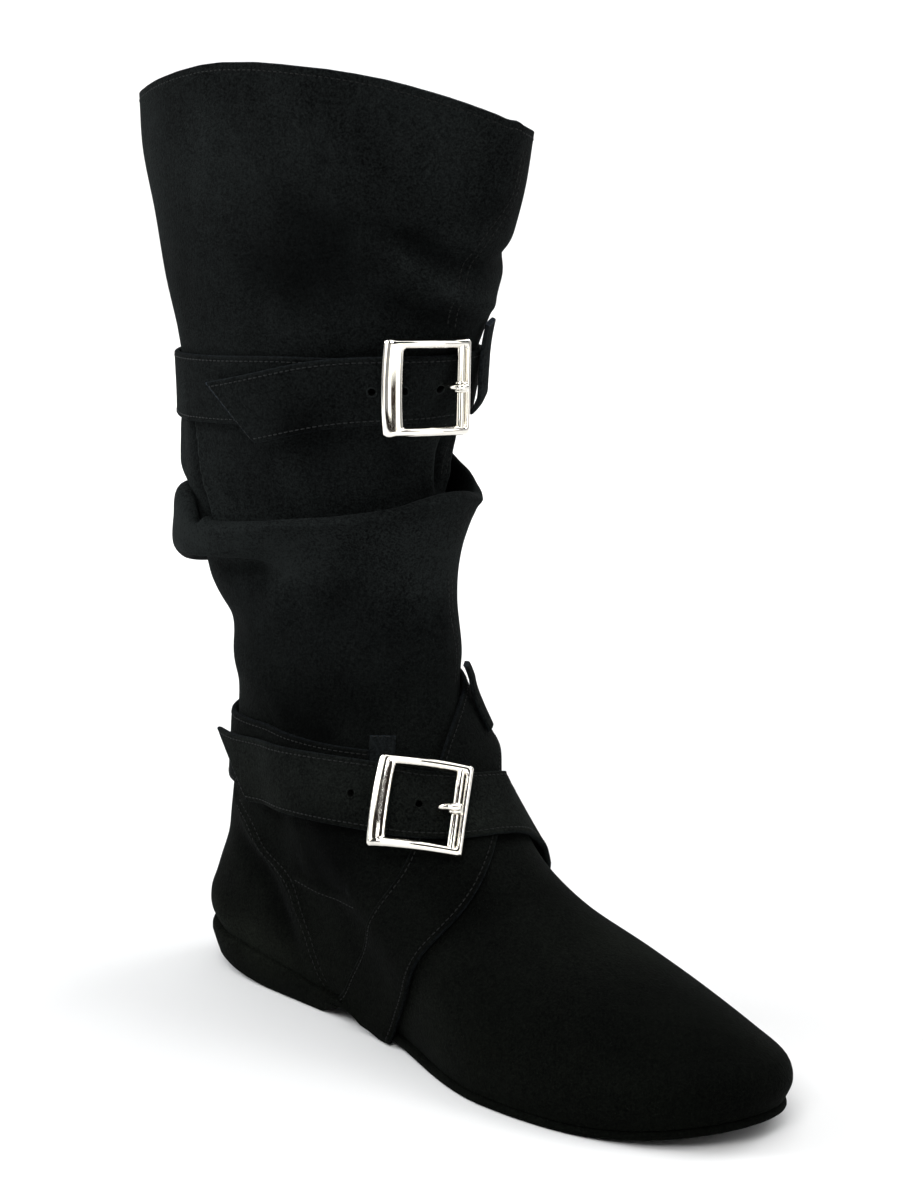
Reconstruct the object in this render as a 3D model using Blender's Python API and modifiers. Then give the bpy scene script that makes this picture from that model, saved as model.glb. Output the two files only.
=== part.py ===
# Dance boot, right foot: slouch shaft, crossed ankle straps and two buckles.
# Tables are in millimetres. X points to the toe, -Y to the outer side of the foot, Z up.
# The origin is on the floor under the middle of the heel seat.

import math
from collections import namedtuple

import bmesh
import bpy
import numpy as np
from mathutils import Vector
from mathutils.bvhtree import BVHTree

MM = 0.001
GAP = 0.3

# Sole and heel
SOLE_BACK = -35.0
SOLE_TOE = 222.0
SOLE_THICKNESS = 3.0
SOLE_EDGE_ROUND = 0.9
HEEL_HEIGHT = 10.0
HEEL_TAPER = 0.93
HEEL_TOP_SCALE = 0.985
HEEL_EDGE = 0.02
HEEL_BREAST = 54.0
HEEL_BREAST_SLANT = 12.0
ARCH_START = 36.0
TREAD_START = 118.0
SPRING_START = 172.0
TOE_SPRING = 7.0
TOE_SWING = 9.0
SWING_START = 60.0
HEEL_ROUND = 2.4

# Upper
WALL = 2.0
RING = 48
INSOLE_THICKNESS = 2.0
INSOLE_INSET = 2.8
COUNTER_STEP = 0.6
COUNTER_EASE = 3.0
COUNTER_BASE = 12.0
COUNTER_TOP = 60.0
COUNTER_FRONT = 45.0
COUNTER_LEAN = 0.2
COUNTER_CURVE = 0.0145

# Straps and buckles
STRAP_WIDTH = 23.5
STRAP_THICKNESS = 2.2
STRAP_CLEAR = 0.85
STRAP_STEP = 5.5
LOOP_WIDTH = 9.0
LOOP_THICKNESS = 1.6
LOOP_STEP = 4.0
BUCKLE_LENGTH = 31.0
BUCKLE_HEIGHT = 30.6
BUCKLE_THICKNESS = 3.0
BUCKLE_BOW = 2.2
BUCKLE_WIDE_SIDE = 5.8
BUCKLE_THIN_SIDE = 3.0
BUCKLE_WINDOW = 24.6
BUCKLE_CORNER = 3.0
WINDOW_CORNER = 1.5
BAR_RADIUS = 1.3
BAR_INSET = 3.0
BAR_SIDES = 12
PRONG_RADIUS = 0.9
PRONG_REACH = 6.0
PRONG_FLATNESS = 1.3
PRONG_SIDES = 10
PRONG_HOOK = (150, 130, 110, 90, 75)
PRONG_SIZES = (1, 1, 1, 1, 1, 0.95, 0.75)
SHARP_ANGLE = 40.0

# Places of heel, waist and ball along a section: on the sole, and on the topmost foot section
STATIONS_SOLE = (0.14, 0.42, 0.70)
STATIONS_ANKLE = (0.40, 0.50, 0.58)
ARCH_HOLLOW = 2.0
ARCH_HOLLOW_AT = 0.40
ARCH_HOLLOW_SPREAD = 0.13
BALL_SHIFT = 1.5
BALL_SHIFT_START = 0.45
BALL_SHIFT_SPAN = 0.25

SOLE_OUTLINE = {"heel": 29.0, "waist": 28.5, "ball": 42.5, "nose": 2.1}

# Foot sections: height over the sole, ends, half widths at heel, waist and ball, roundness of the nose
FootSection = namedtuple("FootSection", "rise back toe heel waist ball nose")
FOOT = [FootSection(*row) for row in (
    (0, -32, 218, 27.5, 26.5, 40.5, 2.1),
    (6, -35, 221.5, 29.5, 29, 42.5, 2.1),
    (13, -35, 220.5, 30, 30.5, 42, 2.1),
    (20, -34.5, 214, 30, 31, 40.5, 2.1),
    (27, -34, 198, 30, 31.5, 38.5, 2),
    (34, -33, 173, 29.5, 32, 37, 2),
    (42, -31.5, 143, 29, 32.5, 36, 2),
    (52, -29.5, 124, 29, 33, 35, 2),
    (64, -27, 108, 29, 33.5, 35, 2),
    (78, -25, 92.5, 30, 34, 34.5, 2),
    (94, -23.5, 81.5, 31, 33.5, 33.5, 2),
)]
FOOT_LEVEL = 70.0
FOOT_LEVEL_HEIGHT = 6.0

# Shaft sections, bottom to top, with the slouch fold from its root to its tuck
ShaftSection = namedtuple("ShaftSection", "height back front outer inner rear_drop front_drop inner_drop")
SHAFT = [ShaftSection(*row) for row in (
    (112, -22.5, 75.5, 33.5, 33.5, 0, 0, 0),
    (130, -22, 74, 33, 33, 0, 0, 0),
    (147, -28, 71, 34, 34, 1, -1, 0),
    (161, -32, 70, 36, 36, 8, -3, 0),
    (160, -42, 71, 40, 40, 12, -6, 0),
    (164, -47, 75, 43, 42, 11, -10, 0),
    (170, -49, 80, 45, 43, 6, -13, 0),
    (177, -47, 83, 45, 43, 0, -13, 0),
    (178, -45, 81, 43, 42, 0, -13, 0),
    (166, -43, 68, 39, 38, 2, -9, 0),
    (173, -43, 65, 38, 38, 1, -6, 0),
    (185, -46, 65, 40, 39, 0, -3, 0),
    (199, -47, 67, 41, 40, 0, 0, 0),
    (212, -45, 73, 43, 41, 0, 1, 0),
    (235, -46, 77, 45, 43, 0, 3, 0),
    (255, -51, 87, 48, 46, 1, 5, 2),
    (278, -55, 94, 50, 47, 4, 8, 5),
    (303, -61, 102, 52, 47, 9, 13, 12),
    (328, -64, 108, 52, 46, 18, 18, 22),
)]
SHAFT_MIDDLE = 0.44
SHAFT_CREST = 0.58
SHAFT_AXIS = 15.0
DROP_CURVE = 2.5
REAR_ROUND = (2.2, 0.5)
FORE_ROUND = (1.8, 0.55)

# Upper strap: angle round the shaft from the front over the outer side, and height of its middle
StrapTurn = namedtuple("StrapTurn", "turn height")
UPPER_STRAP = [StrapTurn(*row) for row in (
    (28, 222), (60, 221), (95, 219), (131, 217), (180, 216), (230, 217),
    (280, 220), (320, 222), (350, 223), (370, 223), (386, 222.5), (405, 220), (430, 215), (452, 212),
)]
# How far a band stands off: shares of its length, and the lift at each
Lift = namedtuple("Lift", "share rise")
UPPER_STRAP_LIFT = Lift((0, 0.78, 0.83, 1), (0, 0, 3.4, 3.4))
UPPER_STRAP_SKEW = (0, 18)
UPPER_BUCKLE_TURN = 368.5
UPPER_BUCKLE_HEIGHT = 223.0

# Cross strap: outer sole edge, over the instep, round the ankle and back to the outer side
RoutePoint = namedtuple("RoutePoint", "x y z")
CROSS_STRAP = [RoutePoint(*row) for row in (
    (75, -36, 5), (85, -37, 24), (95, -34, 44), (102, -21, 65), (95, -5, 83), (85, 9, 97),
    (72, 24, 104), (45, 34, 106), (15, 31, 105), (-15, 18, 103), (-24, 0, 101),
    (-14, -20, 97), (5, -30, 92), (28, -33, 85), (48, -33, 79),
)]
CROSS_STRAP_SKEW = (14, 0)

# Ankle strap: inner sole edge, over the instep, through the buckle to its loose tail
ANKLE_STRAP = [RoutePoint(*row) for row in (
    (72, 32, 6), (79, 35, 24), (87, 34, 44), (96, 24, 63), (100, 9, 75), (96, -6, 80), (88, -18, 83),
    (72, -28, 86), (50, -34, 86), (25, -34, 84), (5, -31, 81), (-10, -25, 79),
)]
ANKLE_STRAP_SKEW = (-14, 14)
ANKLE_BUCKLE = RoutePoint(88, -18, 83)

# Belt loops: from the sewn top end over the strap to the sewn lower end
UPPER_LOOP = [RoutePoint(*row) for row in (
    (78, 18, 247), (77, 18, 240), (75, 18, 225), (70, 18, 210), (66, 18, 203),
)]
UPPER_LOOP_LIFT = Lift((0, 0.3, 0.7, 1), (0, 2.5, 2.5, 0))
FRONT_LOOP = [RoutePoint(*row) for row in (
    (71, 18, 130), (72, 19, 124), (74, 21, 112), (76, 22, 99), (78, 23, 89),
)]
OUTER_TAB = [RoutePoint(*row) for row in ((68, -20, 108), (69, -21, 104), (71, -23, 98), (73, -25, 92))]

# Cross sections: how far in from the edge or along the frame's width, and the share of the height there
EdgeStep = namedtuple("EdgeStep", "inward share")
SOLE_EDGE = [EdgeStep(*row) for row in ((1, 0), (0, 0.3), (0, 0.8), (0.6, 1))]
BUCKLE_SECTION = [EdgeStep(*row) for row in ((0, 0), (0, 0.5), (0.25, 1), (0.7, 1), (1, 0.6), (1, 0))]

Finish = namedtuple("Finish", "color roughness metallic")
FINISHES = {
    "suede": Finish((0.012, 0.012, 0.015), 0.95, 0.0),
    "sole_leather": Finish((0.02, 0.019, 0.018), 0.8, 0.0),
    "lining": Finish((0.03, 0.028, 0.027), 0.9, 0.0),
    "nickel": Finish((0.75, 0.73, 0.68), 0.16, 1.0),
}
CURVE_STEPS = 161


def smooth(t):
    t = np.clip(t, 0, 1)
    return t * t * (3 - 2 * t)


def sole_under(x):
    arch = HEEL_HEIGHT * (1 - smooth((x - ARCH_START) / (TREAD_START - ARCH_START)))
    spring = TOE_SPRING * np.clip((x - SPRING_START) / (SOLE_TOE - SPRING_START), 0, None) ** 2
    return arch + spring


def sole_top(x):
    return sole_under(x) + SOLE_THICKNESS


def swing(x):
    return TOE_SWING * np.clip((x - SWING_START) / (SOLE_TOE - SWING_START), 0, None) ** 2


def evenly(points, count):
    steps = np.linalg.norm(np.diff(points, axis=0), axis=1)
    length = np.concatenate([[0], np.cumsum(steps)])
    places = np.linspace(0, length[-1], count)
    return np.stack([np.interp(places, length, axis) for axis in points.T], axis=1)


def closed_ring(outer, inner):
    half = RING // 2 + 1
    return np.concatenate([evenly(outer, half), evenly(inner, half)[::-1][1:-1]])


def half_width(x, back, toe, heel, waist, ball, nose, part):
    at_heel, at_waist, at_ball = (
        back + (toe - back) * (low + (high - low) * part)
        for low, high in zip(STATIONS_SOLE, STATIONS_ANKLE)
    )
    behind = np.clip((at_heel - x) / (at_heel - back), 0, 1)
    ahead = np.clip((x - at_ball) / (toe - at_ball), 0, 1)
    to_waist = heel + (waist - heel) * smooth((x - at_heel) / (at_waist - at_heel))
    to_ball = waist + (ball - waist) * smooth((x - at_waist) / (at_ball - at_waist))
    side = np.where(x < at_waist, to_waist, to_ball)
    side = np.where(x < at_heel, heel * (1 - behind**HEEL_ROUND) ** 0.5, side)
    return np.where(x > at_ball, ball * (1 - ahead**nose) ** 0.5, side)


def foot_ring(back, toe, heel, waist, ball, nose, part):
    x = back + (toe - back) * (1 - np.cos(np.linspace(0, math.pi, CURVE_STEPS))) / 2
    half = half_width(x, back, toe, heel, waist, ball, nose, part)
    along = (x - back) / (toe - back)
    hollow = np.exp(-(((along - ARCH_HOLLOW_AT) / ARCH_HOLLOW_SPREAD) ** 2))
    hollow = ARCH_HOLLOW * (1 - part) * hollow
    shift = BALL_SHIFT * (1 - part) * smooth((along - BALL_SHIFT_START) / BALL_SHIFT_SPAN)
    outer = np.stack([x, swing(x) - shift - half], axis=1)
    inner = np.stack([x, swing(x) - shift + half - hollow], axis=1)
    return closed_ring(outer, inner)


def foot_sections():
    longest = FOOT[0].toe - FOOT[0].back
    shortest = FOOT[-1].toe - FOOT[-1].back
    rings = []
    for row in FOOT:
        part = min(max((longest - row.toe + row.back) / (longest - shortest), 0), 1)
        ring = foot_ring(*row[1:], part)
        follow = 1 - smooth(row.rise / FOOT_LEVEL)
        z = GAP + row.rise + sole_top(ring[:, 0]) * follow + FOOT_LEVEL_HEIGHT * (1 - follow)
        rings.append(np.column_stack([ring, z]))
    return rings


def oval(back, front, outer, inner):
    s = -np.cos(np.linspace(0, math.pi, CURVE_STEPS))
    middle = back + (front - back) * SHAFT_MIDDLE
    x = np.where(s < 0, middle + s * (middle - back), middle + s * (front - middle))
    rear, fore = (
        np.clip(1 - np.abs(s) ** shape, 0, None) ** fullness for shape, fullness in (REAR_ROUND, FORE_ROUND)
    )
    bulge = np.where(s < 0, rear, fore)
    return closed_ring(np.stack([x, -outer * bulge], axis=1), np.stack([x, inner * bulge], axis=1))


def shaft_sections():
    rings = []
    for row in SHAFT:
        ring = oval(row.back, row.front, row.outer, row.inner)
        along = (ring[:, 0] - row.back) / (row.front - row.back)
        rear = np.clip((SHAFT_CREST - along) / SHAFT_CREST, 0, 1) ** DROP_CURVE
        fore = np.clip((along - SHAFT_CREST) / (1 - SHAFT_CREST), 0, 1) ** DROP_CURVE
        across = np.clip(ring[:, 1] / row.inner, 0, 1)
        z = row.height - row.rear_drop * rear - row.front_drop * fore - row.inner_drop * across
        rings.append(np.column_stack([ring, z]))
    return rings


def with_counter(rings):
    # The stiff heel panel stands a little proud behind a curved front edge
    raised = []
    for ring in rings:
        rise = ring[:, 2] - COUNTER_BASE
        edge = COUNTER_FRONT - COUNTER_LEAN * rise - COUNTER_CURVE * rise**2
        step = COUNTER_STEP * smooth((edge - ring[:, 0]) / COUNTER_EASE + 0.5) * (rise < COUNTER_TOP)
        away = unit(ring[:, :2] - (SHAFT_AXIS, 0))
        raised.append(np.column_stack([ring[:, :2] + away * step[:, None], ring[:, 2]]))
    return raised


def loft(rings, close_rings=False):
    count = len(rings[0])
    pairs = list(zip(range(len(rings) - 1), range(1, len(rings))))
    if close_rings:
        pairs.append((len(rings) - 1, 0))
    faces = []
    for low, high in pairs:
        for i in range(count):
            j = (i + 1) % count
            faces.append((low * count + i, low * count + j, high * count + j, high * count + i))
    return np.concatenate(rings), faces


def strip_cap(start, count):
    # Faces between the outer and the inner half of a ring, from the back to the front
    faces = [(start, start + 1, start + count - 1)]
    for i in range(1, count // 2 - 1):
        faces.append((start + i, start + i + 1, start + count - i - 1, start + count - i))
    middle = start + count // 2
    faces.append((middle - 1, middle, middle + 1))
    return faces


def plate(rings):
    points, faces = loft(rings)
    count = len(rings[0])
    faces += strip_cap(0, count) + strip_cap(count * (len(rings) - 1), count)
    return points, faces


def finish_material(name):
    finish = FINISHES[name]
    material = bpy.data.materials.get(name) or bpy.data.materials.new(name)
    material.use_nodes = True
    shader = material.node_tree.nodes["Principled BSDF"]
    shader.inputs["Base Color"].default_value = (*finish.color, 1)
    shader.inputs["Roughness"].default_value = finish.roughness
    shader.inputs["Metallic"].default_value = finish.metallic
    return material


def add_piece(name, points, faces, finish, collection, closed=True):
    mesh = bpy.data.meshes.new(name)
    mesh.from_pydata((np.asarray(points) * MM).tolist(), [], faces)
    if closed:
        work = bmesh.new()
        work.from_mesh(mesh)
        bmesh.ops.recalc_face_normals(work, faces=work.faces)
        work.to_mesh(mesh)
        work.free()
    mesh.shade_smooth()
    mesh.set_sharp_from_angle(angle=math.radians(SHARP_ANGLE))
    mesh.materials.append(finish_material(finish))
    piece = bpy.data.objects.new(name, mesh)
    collection.objects.link(piece)
    return piece


def ground_of(*shapes):
    points = []
    faces = []
    for shape_points, shape_faces in shapes:
        first = len(points)
        points += [tuple(p) for p in shape_points]
        faces += [tuple(first + i for i in face) for face in shape_faces]
    return BVHTree.FromPolygons(points, faces)


def spline(route, spacing):
    # A smooth curve through the route's points, read at even steps
    route = np.asarray(route, float)
    ends = np.concatenate([[2 * route[0] - route[1]], route, [2 * route[-1] - route[-2]]])
    t = np.linspace(0, 1, 12, endpoint=False)[:, None]
    dense = []
    for a, b, c, d in zip(ends, ends[1:], ends[2:], ends[3:]):
        bend = (3 * b - a - 3 * c + d) * t**3 + (2 * a - 5 * b + 4 * c - d) * t**2
        dense.append((bend + (c - a) * t + 2 * b) / 2)
    dense = np.concatenate(dense + [route[-1:]])
    length = np.linalg.norm(np.diff(dense, axis=0), axis=1).sum()
    return evenly(dense, int(round(length / spacing)) + 1)


def finer(values, times):
    places = np.linspace(0, len(values) - 1, (len(values) - 1) * times + 1)
    return np.stack([np.interp(places, np.arange(len(values)), axis) for axis in values.T], axis=1)


def evened(values, passes):
    for _ in range(passes):
        padded = np.concatenate([values[:1], values, values[-1:]])
        values = (padded[:-2] + 2 * padded[1:-1] + padded[2:]) / 4
    return values


def unit(vectors):
    return vectors / np.linalg.norm(vectors, axis=-1, keepdims=True)


def height_over(ground, point, normal, reach=30.0):
    start = Vector(point + normal * reach)
    _, _, _, distance = ground.ray_cast(start, Vector(-normal), 2 * reach)
    return -reach if distance is None else reach - distance


def on_shaft(ground, turn, height):
    angle = math.radians(turn)
    outward = np.array([math.cos(angle), -math.sin(angle), 0])
    axis = np.array([SHAFT_AXIS, 0, height])
    hit, _, _, _ = ground.ray_cast(Vector(axis + outward * 150), Vector(-outward))
    return np.array(hit)


def highest_near(ground, point, tangent, normal, spacing):
    nearby = [point + tangent * spacing * step for step in (-0.5, -0.25, 0, 0.25, 0.5)]
    return max(height_over(ground, p, normal) for p in nearby)


def end_shear(travel, skew):
    # How far a strap's two edges lead or lag its middle, towards each askew end
    ramp = 1.5 * STRAP_WIDTH
    start = np.clip(1 - travel / ramp, 0, 1)
    end = np.clip(1 - (travel[-1] - travel) / ramp, 0, 1)
    return (skew[0] * start + skew[1] * end) / 2


def lay_band(skin, ground, route, width, thickness, spacing=STRAP_STEP, skew=(0, 0), lift=None):
    # A flat strap laid over the ground: straight across, evened along, its ends cut askew
    line = spline(route, spacing)
    found = [skin.find_nearest(Vector(p)) for p in line]
    centres = evened(np.array([hit[0] for hit in found]), 2)
    normals = unit(evened(np.array([hit[1] for hit in found]), 4))
    tangents = unit(np.gradient(centres, axis=0))
    sides = unit(np.cross(tangents, normals))
    normals = np.cross(sides, tangents)
    shear = end_shear(np.arange(len(line)) * spacing, skew)
    edge = sides * width / 2 + tangents * shear[:, None]
    across = np.linspace(-1, 1, 9)
    heights = []
    for centre, tangent, reach, normal in zip(centres, tangents, edge, normals):
        row = [centre + reach * side for side in across]
        heights.append([highest_near(ground, point, tangent, normal, spacing) for point in row])
    heights = np.array(heights)
    slope = evened((heights * across).sum(axis=1) / (across**2).sum(), 3)
    lowest = (heights - slope[:, None] * across).max(axis=1) + STRAP_CLEAR
    level = lowest.copy()
    for _ in range(6):
        level = np.maximum(evened(level, 1), lowest)
    if lift is not None:
        level = level + np.interp(np.linspace(0, 1, len(line)), lift.share, lift.rise)
    rings = []
    for centre, reach, normal, rise, lean in zip(centres, edge, normals, level, slope):
        low, high = (centre + reach * side + normal * (rise + lean * side) for side in (-1, 1))
        rings.append(np.array([low, high, high + normal * thickness, low + normal * thickness]))
    points, faces = loft(rings)
    faces += [(0, 1, 2, 3), tuple(len(points) - 1 - i for i in range(4))]
    course = {
        "middle": centres + normals * (level + thickness)[:, None],
        "along": tangents,
        "across": unit(sides * width / 2 + normals * slope[:, None]),
        "out": normals,
    }
    return (points, faces), course


def rounded_rectangle(u0, u1, v0, v1, radius):
    # Arcs at the corners with the sides divided between them, so that the sides can bow
    loop = []
    corners = ((u1, v1, 0), (u0, v1, 90), (u0, v0, 180), (u1, v0, 270))
    for u, v, first in corners:
        middle_u = u - math.copysign(radius, u - (u0 + u1) / 2)
        middle_v = v - math.copysign(radius, v - (v0 + v1) / 2)
        for step in range(4):
            angle = math.radians(first + 30 * step)
            loop.append((middle_u + radius * math.cos(angle), middle_v + radius * math.sin(angle)))
    divided = []
    for here, after in zip(loop, loop[1:] + loop[:1]):
        divided.append(here)
        if math.dist(here, after) > 4 * radius:
            divided += [tuple(np.array(here) + (np.array(after) - here) * k / 4) for k in (1, 2, 3)]
    return np.array(divided)


def bow(u):
    return BUCKLE_BOW * (1 - (2 * u / BUCKLE_LENGTH) ** 2)


def buckle_axes(course, at):
    # At the strap's middle: u along the strap to its tail, v across it, w outward
    fine = {name: finer(values, 10) for name, values in course.items()}
    nearest = np.linalg.norm(fine["middle"] - at, axis=1).argmin()
    u, v = unit(fine["along"][nearest]), fine["across"][nearest]
    w = unit(np.cross(u, v))
    if w.dot(fine["out"][nearest]) < 0:
        w = -w
    return fine["middle"][nearest], u, np.cross(w, u), w


def make_buckle(name, course, at, ground, collection, cutters):
    origin, u, v, w = buckle_axes(course, at)
    half, tall = BUCKLE_LENGTH / 2, BUCKLE_HEIGHT / 2
    outer = rounded_rectangle(-half, half, -tall, tall, BUCKLE_CORNER)
    window = (-half + BUCKLE_THIN_SIDE, half - BUCKLE_WIDE_SIDE, -BUCKLE_WINDOW / 2, BUCKLE_WINDOW / 2)
    inner = rounded_rectangle(*window, WINDOW_CORNER)

    def place(flat, height):
        return origin + flat[:, :1] * u + flat[:, 1:] * v + height[:, None] * w

    # The frame sits just clear of the strap and the upper wherever it covers them
    over = np.concatenate([outer, inner, (outer + inner) / 2])
    level = place(over, np.zeros(len(over)))
    seat = max(height_over(ground, p, w) - rise for p, rise in zip(level, bow(over[:, 0]))) + STRAP_CLEAR
    rings = []
    for step in BUCKLE_SECTION:
        loop = outer + (inner - outer) * step.inward
        rings.append(place(loop, seat + bow(loop[:, 0]) + step.share * BUCKLE_THICKNESS))
    frame = add_piece(name, *loft(rings, close_rings=True), "nickel", collection)

    bar_u = -half + BUCKLE_THIN_SIDE + BAR_INSET
    bar_w = seat + bow(bar_u) + BUCKLE_THICKNESS / 2
    bar_half = (BUCKLE_WINDOW + BUCKLE_HEIGHT) / 4
    angles = np.linspace(0, 2 * math.pi, BAR_SIDES, endpoint=False)
    circle = np.stack([np.cos(angles), np.sin(angles)], axis=1) * BAR_RADIUS
    rings = []
    for end in (-bar_half, bar_half):
        rings.append(np.array([origin + (bar_u + a) * u + end * v + (bar_w + b) * w for a, b in circle]))
    points, faces = loft(rings)
    faces += [tuple(range(BAR_SIDES)), tuple(range(2 * BAR_SIDES - 1, BAR_SIDES - 1, -1))]
    bar = add_piece(name + "_bar", points, faces, "nickel", cutters)
    bar.hide_render = True
    bar.display_type = "WIRE"
    union = frame.modifiers.new("Bar", "BOOLEAN")
    union.operation = "UNION"
    union.solver = "EXACT"
    union.object = bar
    return origin, u, v, w, bar_u, bar_w


def make_prong(name, fitted, ground, collection):
    # The tongue hooks over the bar and dips to the strap
    origin, u, v, w, bar_u, bar_w = fitted
    reach = BAR_RADIUS + GAP + PRONG_RADIUS
    hook = np.radians(PRONG_HOOK)
    path = [(bar_u + reach * math.cos(angle), bar_w + reach * math.sin(angle)) for angle in hook]
    tip = bar_u + PRONG_REACH
    rest = height_over(ground, origin + tip * u, w) + PRONG_RADIUS + STRAP_CLEAR
    path += [(bar_u + 0.45 * PRONG_REACH, 0.6 * path[-1][1] + 0.4 * rest), (tip, rest)]
    path = np.array(path)
    heading = unit(np.gradient(path, axis=0))
    angles = np.linspace(0, 2 * math.pi, PRONG_SIDES, endpoint=False)
    rings = []
    for (at_u, at_w), (to_u, to_w), size in zip(path, heading, PRONG_SIZES):
        middle = origin + at_u * u + at_w * w
        up = (to_u * w - to_w * u) * PRONG_RADIUS * size
        wide = v * PRONG_RADIUS * size * PRONG_FLATNESS
        rings.append(np.array([middle + math.cos(angle) * wide + math.sin(angle) * up for angle in angles]))
    points, faces = loft(rings)
    faces += [tuple(range(PRONG_SIDES)), tuple(len(points) - 1 - i for i in range(PRONG_SIDES))]
    add_piece(name, points, faces, "nickel", collection)


def make_sole(collection):
    ring = foot_ring(SOLE_BACK, SOLE_TOE, part=0, **SOLE_OUTLINE)
    middle = np.array([(SOLE_BACK + SOLE_TOE) / 2, 0])
    inset = unit(ring - middle) * SOLE_EDGE_ROUND
    rings = []
    for step in SOLE_EDGE:
        outline = ring - inset * step.inward
        rings.append(np.column_stack([outline, sole_under(outline[:, 0]) + SOLE_THICKNESS * step.share]))
    shape = plate(rings)
    add_piece("outsole", *shape, "sole_leather", collection)
    return shape


def heel_ring(sole, breast):
    outer = sole[: RING // 2 + 1]
    inner = np.concatenate([sole[:1], sole[: RING // 2 - 1 : -1]])
    x = SOLE_BACK + (breast - SOLE_BACK) * (1 - np.cos(np.linspace(0, math.pi / 2, 11)))
    outer_edge = np.column_stack([x, np.interp(x, outer[:, 0], outer[:, 1])])
    inner_edge = np.column_stack([x, np.interp(x, inner[:, 0], inner[:, 1])])
    return np.concatenate([outer_edge, inner_edge[::-1][:-1]])


def make_heel(collection):
    # A low block under the seat, drawn in towards the floor, with a slanted breast
    sole = foot_ring(SOLE_BACK, SOLE_TOE, part=0, **SOLE_OUTLINE)
    centre = np.array([HEEL_BREAST / 4, 0])
    rings = []
    for scale, share in ((HEEL_TAPER - HEEL_EDGE, 0), (HEEL_TAPER, 0.08), (HEEL_TOP_SCALE, 1)):
        ring = heel_ring(sole, HEEL_BREAST - HEEL_BREAST_SLANT * (1 - share))
        outline = centre + (ring - centre) * scale
        rings.append(np.column_stack([outline, (sole_under(outline[:, 0]) - GAP) * share]))
    points, faces = loft(rings)
    count = len(rings[0])
    for start in (0, 2 * count):
        faces.append((start, start + 1, start + count - 1))
        faces += [
            (start + i, start + i + 1, start + count - i - 1, start + count - i) for i in range(1, count // 2)
        ]
    add_piece("heel", points, faces, "sole_leather", collection)


def make_insole(collection):
    edge = FOOT[0]
    sides = (side - INSOLE_INSET for side in (edge.heel, edge.waist, edge.ball))
    ring = foot_ring(edge.back + INSOLE_INSET, edge.toe - INSOLE_INSET, *sides, edge.nose, 0)
    low = np.column_stack([ring, sole_top(ring[:, 0]) + GAP])
    high = low + (0, 0, INSOLE_THICKNESS)
    add_piece("insole", *plate([low, high]), "lining", collection)


def make_upper(collection):
    shape = loft(with_counter(foot_sections()) + shaft_sections())
    upper = add_piece("upper", *shape, "suede", collection, closed=False)
    wall = upper.modifiers.new("Wall", "SOLIDIFY")
    wall.thickness = WALL * MM
    wall.offset = -1
    return shape


def make_strap(name, skin, ground, route, collection, skew, lift=None):
    shape, course = lay_band(skin, ground, route, STRAP_WIDTH, STRAP_THICKNESS, skew=skew, lift=lift)
    add_piece(name, *shape, "suede", collection)
    return shape, course


def make_loop(name, skin, ground, route, collection, lift=None):
    shape, _ = lay_band(skin, ground, route, LOOP_WIDTH, LOOP_THICKNESS, spacing=LOOP_STEP, lift=lift)
    add_piece(name, *shape, "suede", collection)
    return shape


def build():
    for old in list(bpy.data.objects):
        bpy.data.objects.remove(old)
    boot = bpy.data.collections.new("dance_boot")
    cutters = bpy.data.collections.new("cutters")
    for group in (boot, cutters):
        bpy.context.scene.collection.children.link(group)

    sole = make_sole(boot)
    make_heel(boot)
    make_insole(boot)
    upper = make_upper(boot)
    skin = ground_of(upper)

    foot = ground_of(upper, sole)
    cross, _ = make_strap("cross_strap", foot, foot, CROSS_STRAP, boot, CROSS_STRAP_SKEW)
    tab = make_loop("outer_tab", skin, skin, OUTER_TAB, boot)
    under_ankle = ground_of(upper, sole, cross, tab)
    ankle, course = make_strap("ankle_strap", foot, under_ankle, ANKLE_STRAP, boot, ANKLE_STRAP_SKEW)
    dressed = ground_of(upper, cross, tab, ankle)
    make_loop("front_loop", skin, dressed, FRONT_LOOP, boot)
    fitted = make_buckle("ankle_buckle", course, ANKLE_BUCKLE, dressed, boot, cutters)
    make_prong("ankle_prong", fitted, dressed, boot)

    turns = [on_shaft(skin, turn, height) for turn, height in UPPER_STRAP]
    belt, course = make_strap("upper_strap", skin, skin, turns, boot, UPPER_STRAP_SKEW, UPPER_STRAP_LIFT)
    dressed = ground_of(upper, belt)
    make_loop("upper_loop", skin, dressed, UPPER_LOOP, boot, UPPER_LOOP_LIFT)
    at = on_shaft(skin, UPPER_BUCKLE_TURN, UPPER_BUCKLE_HEIGHT)
    fitted = make_buckle("upper_buckle", course, at, dressed, boot, cutters)
    make_prong("upper_prong", fitted, dressed, boot)


build()
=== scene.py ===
import math

import bmesh
import bpy
import numpy as np
from mathutils import Matrix, Vector
from mathutils.bvhtree import BVHTree


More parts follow.
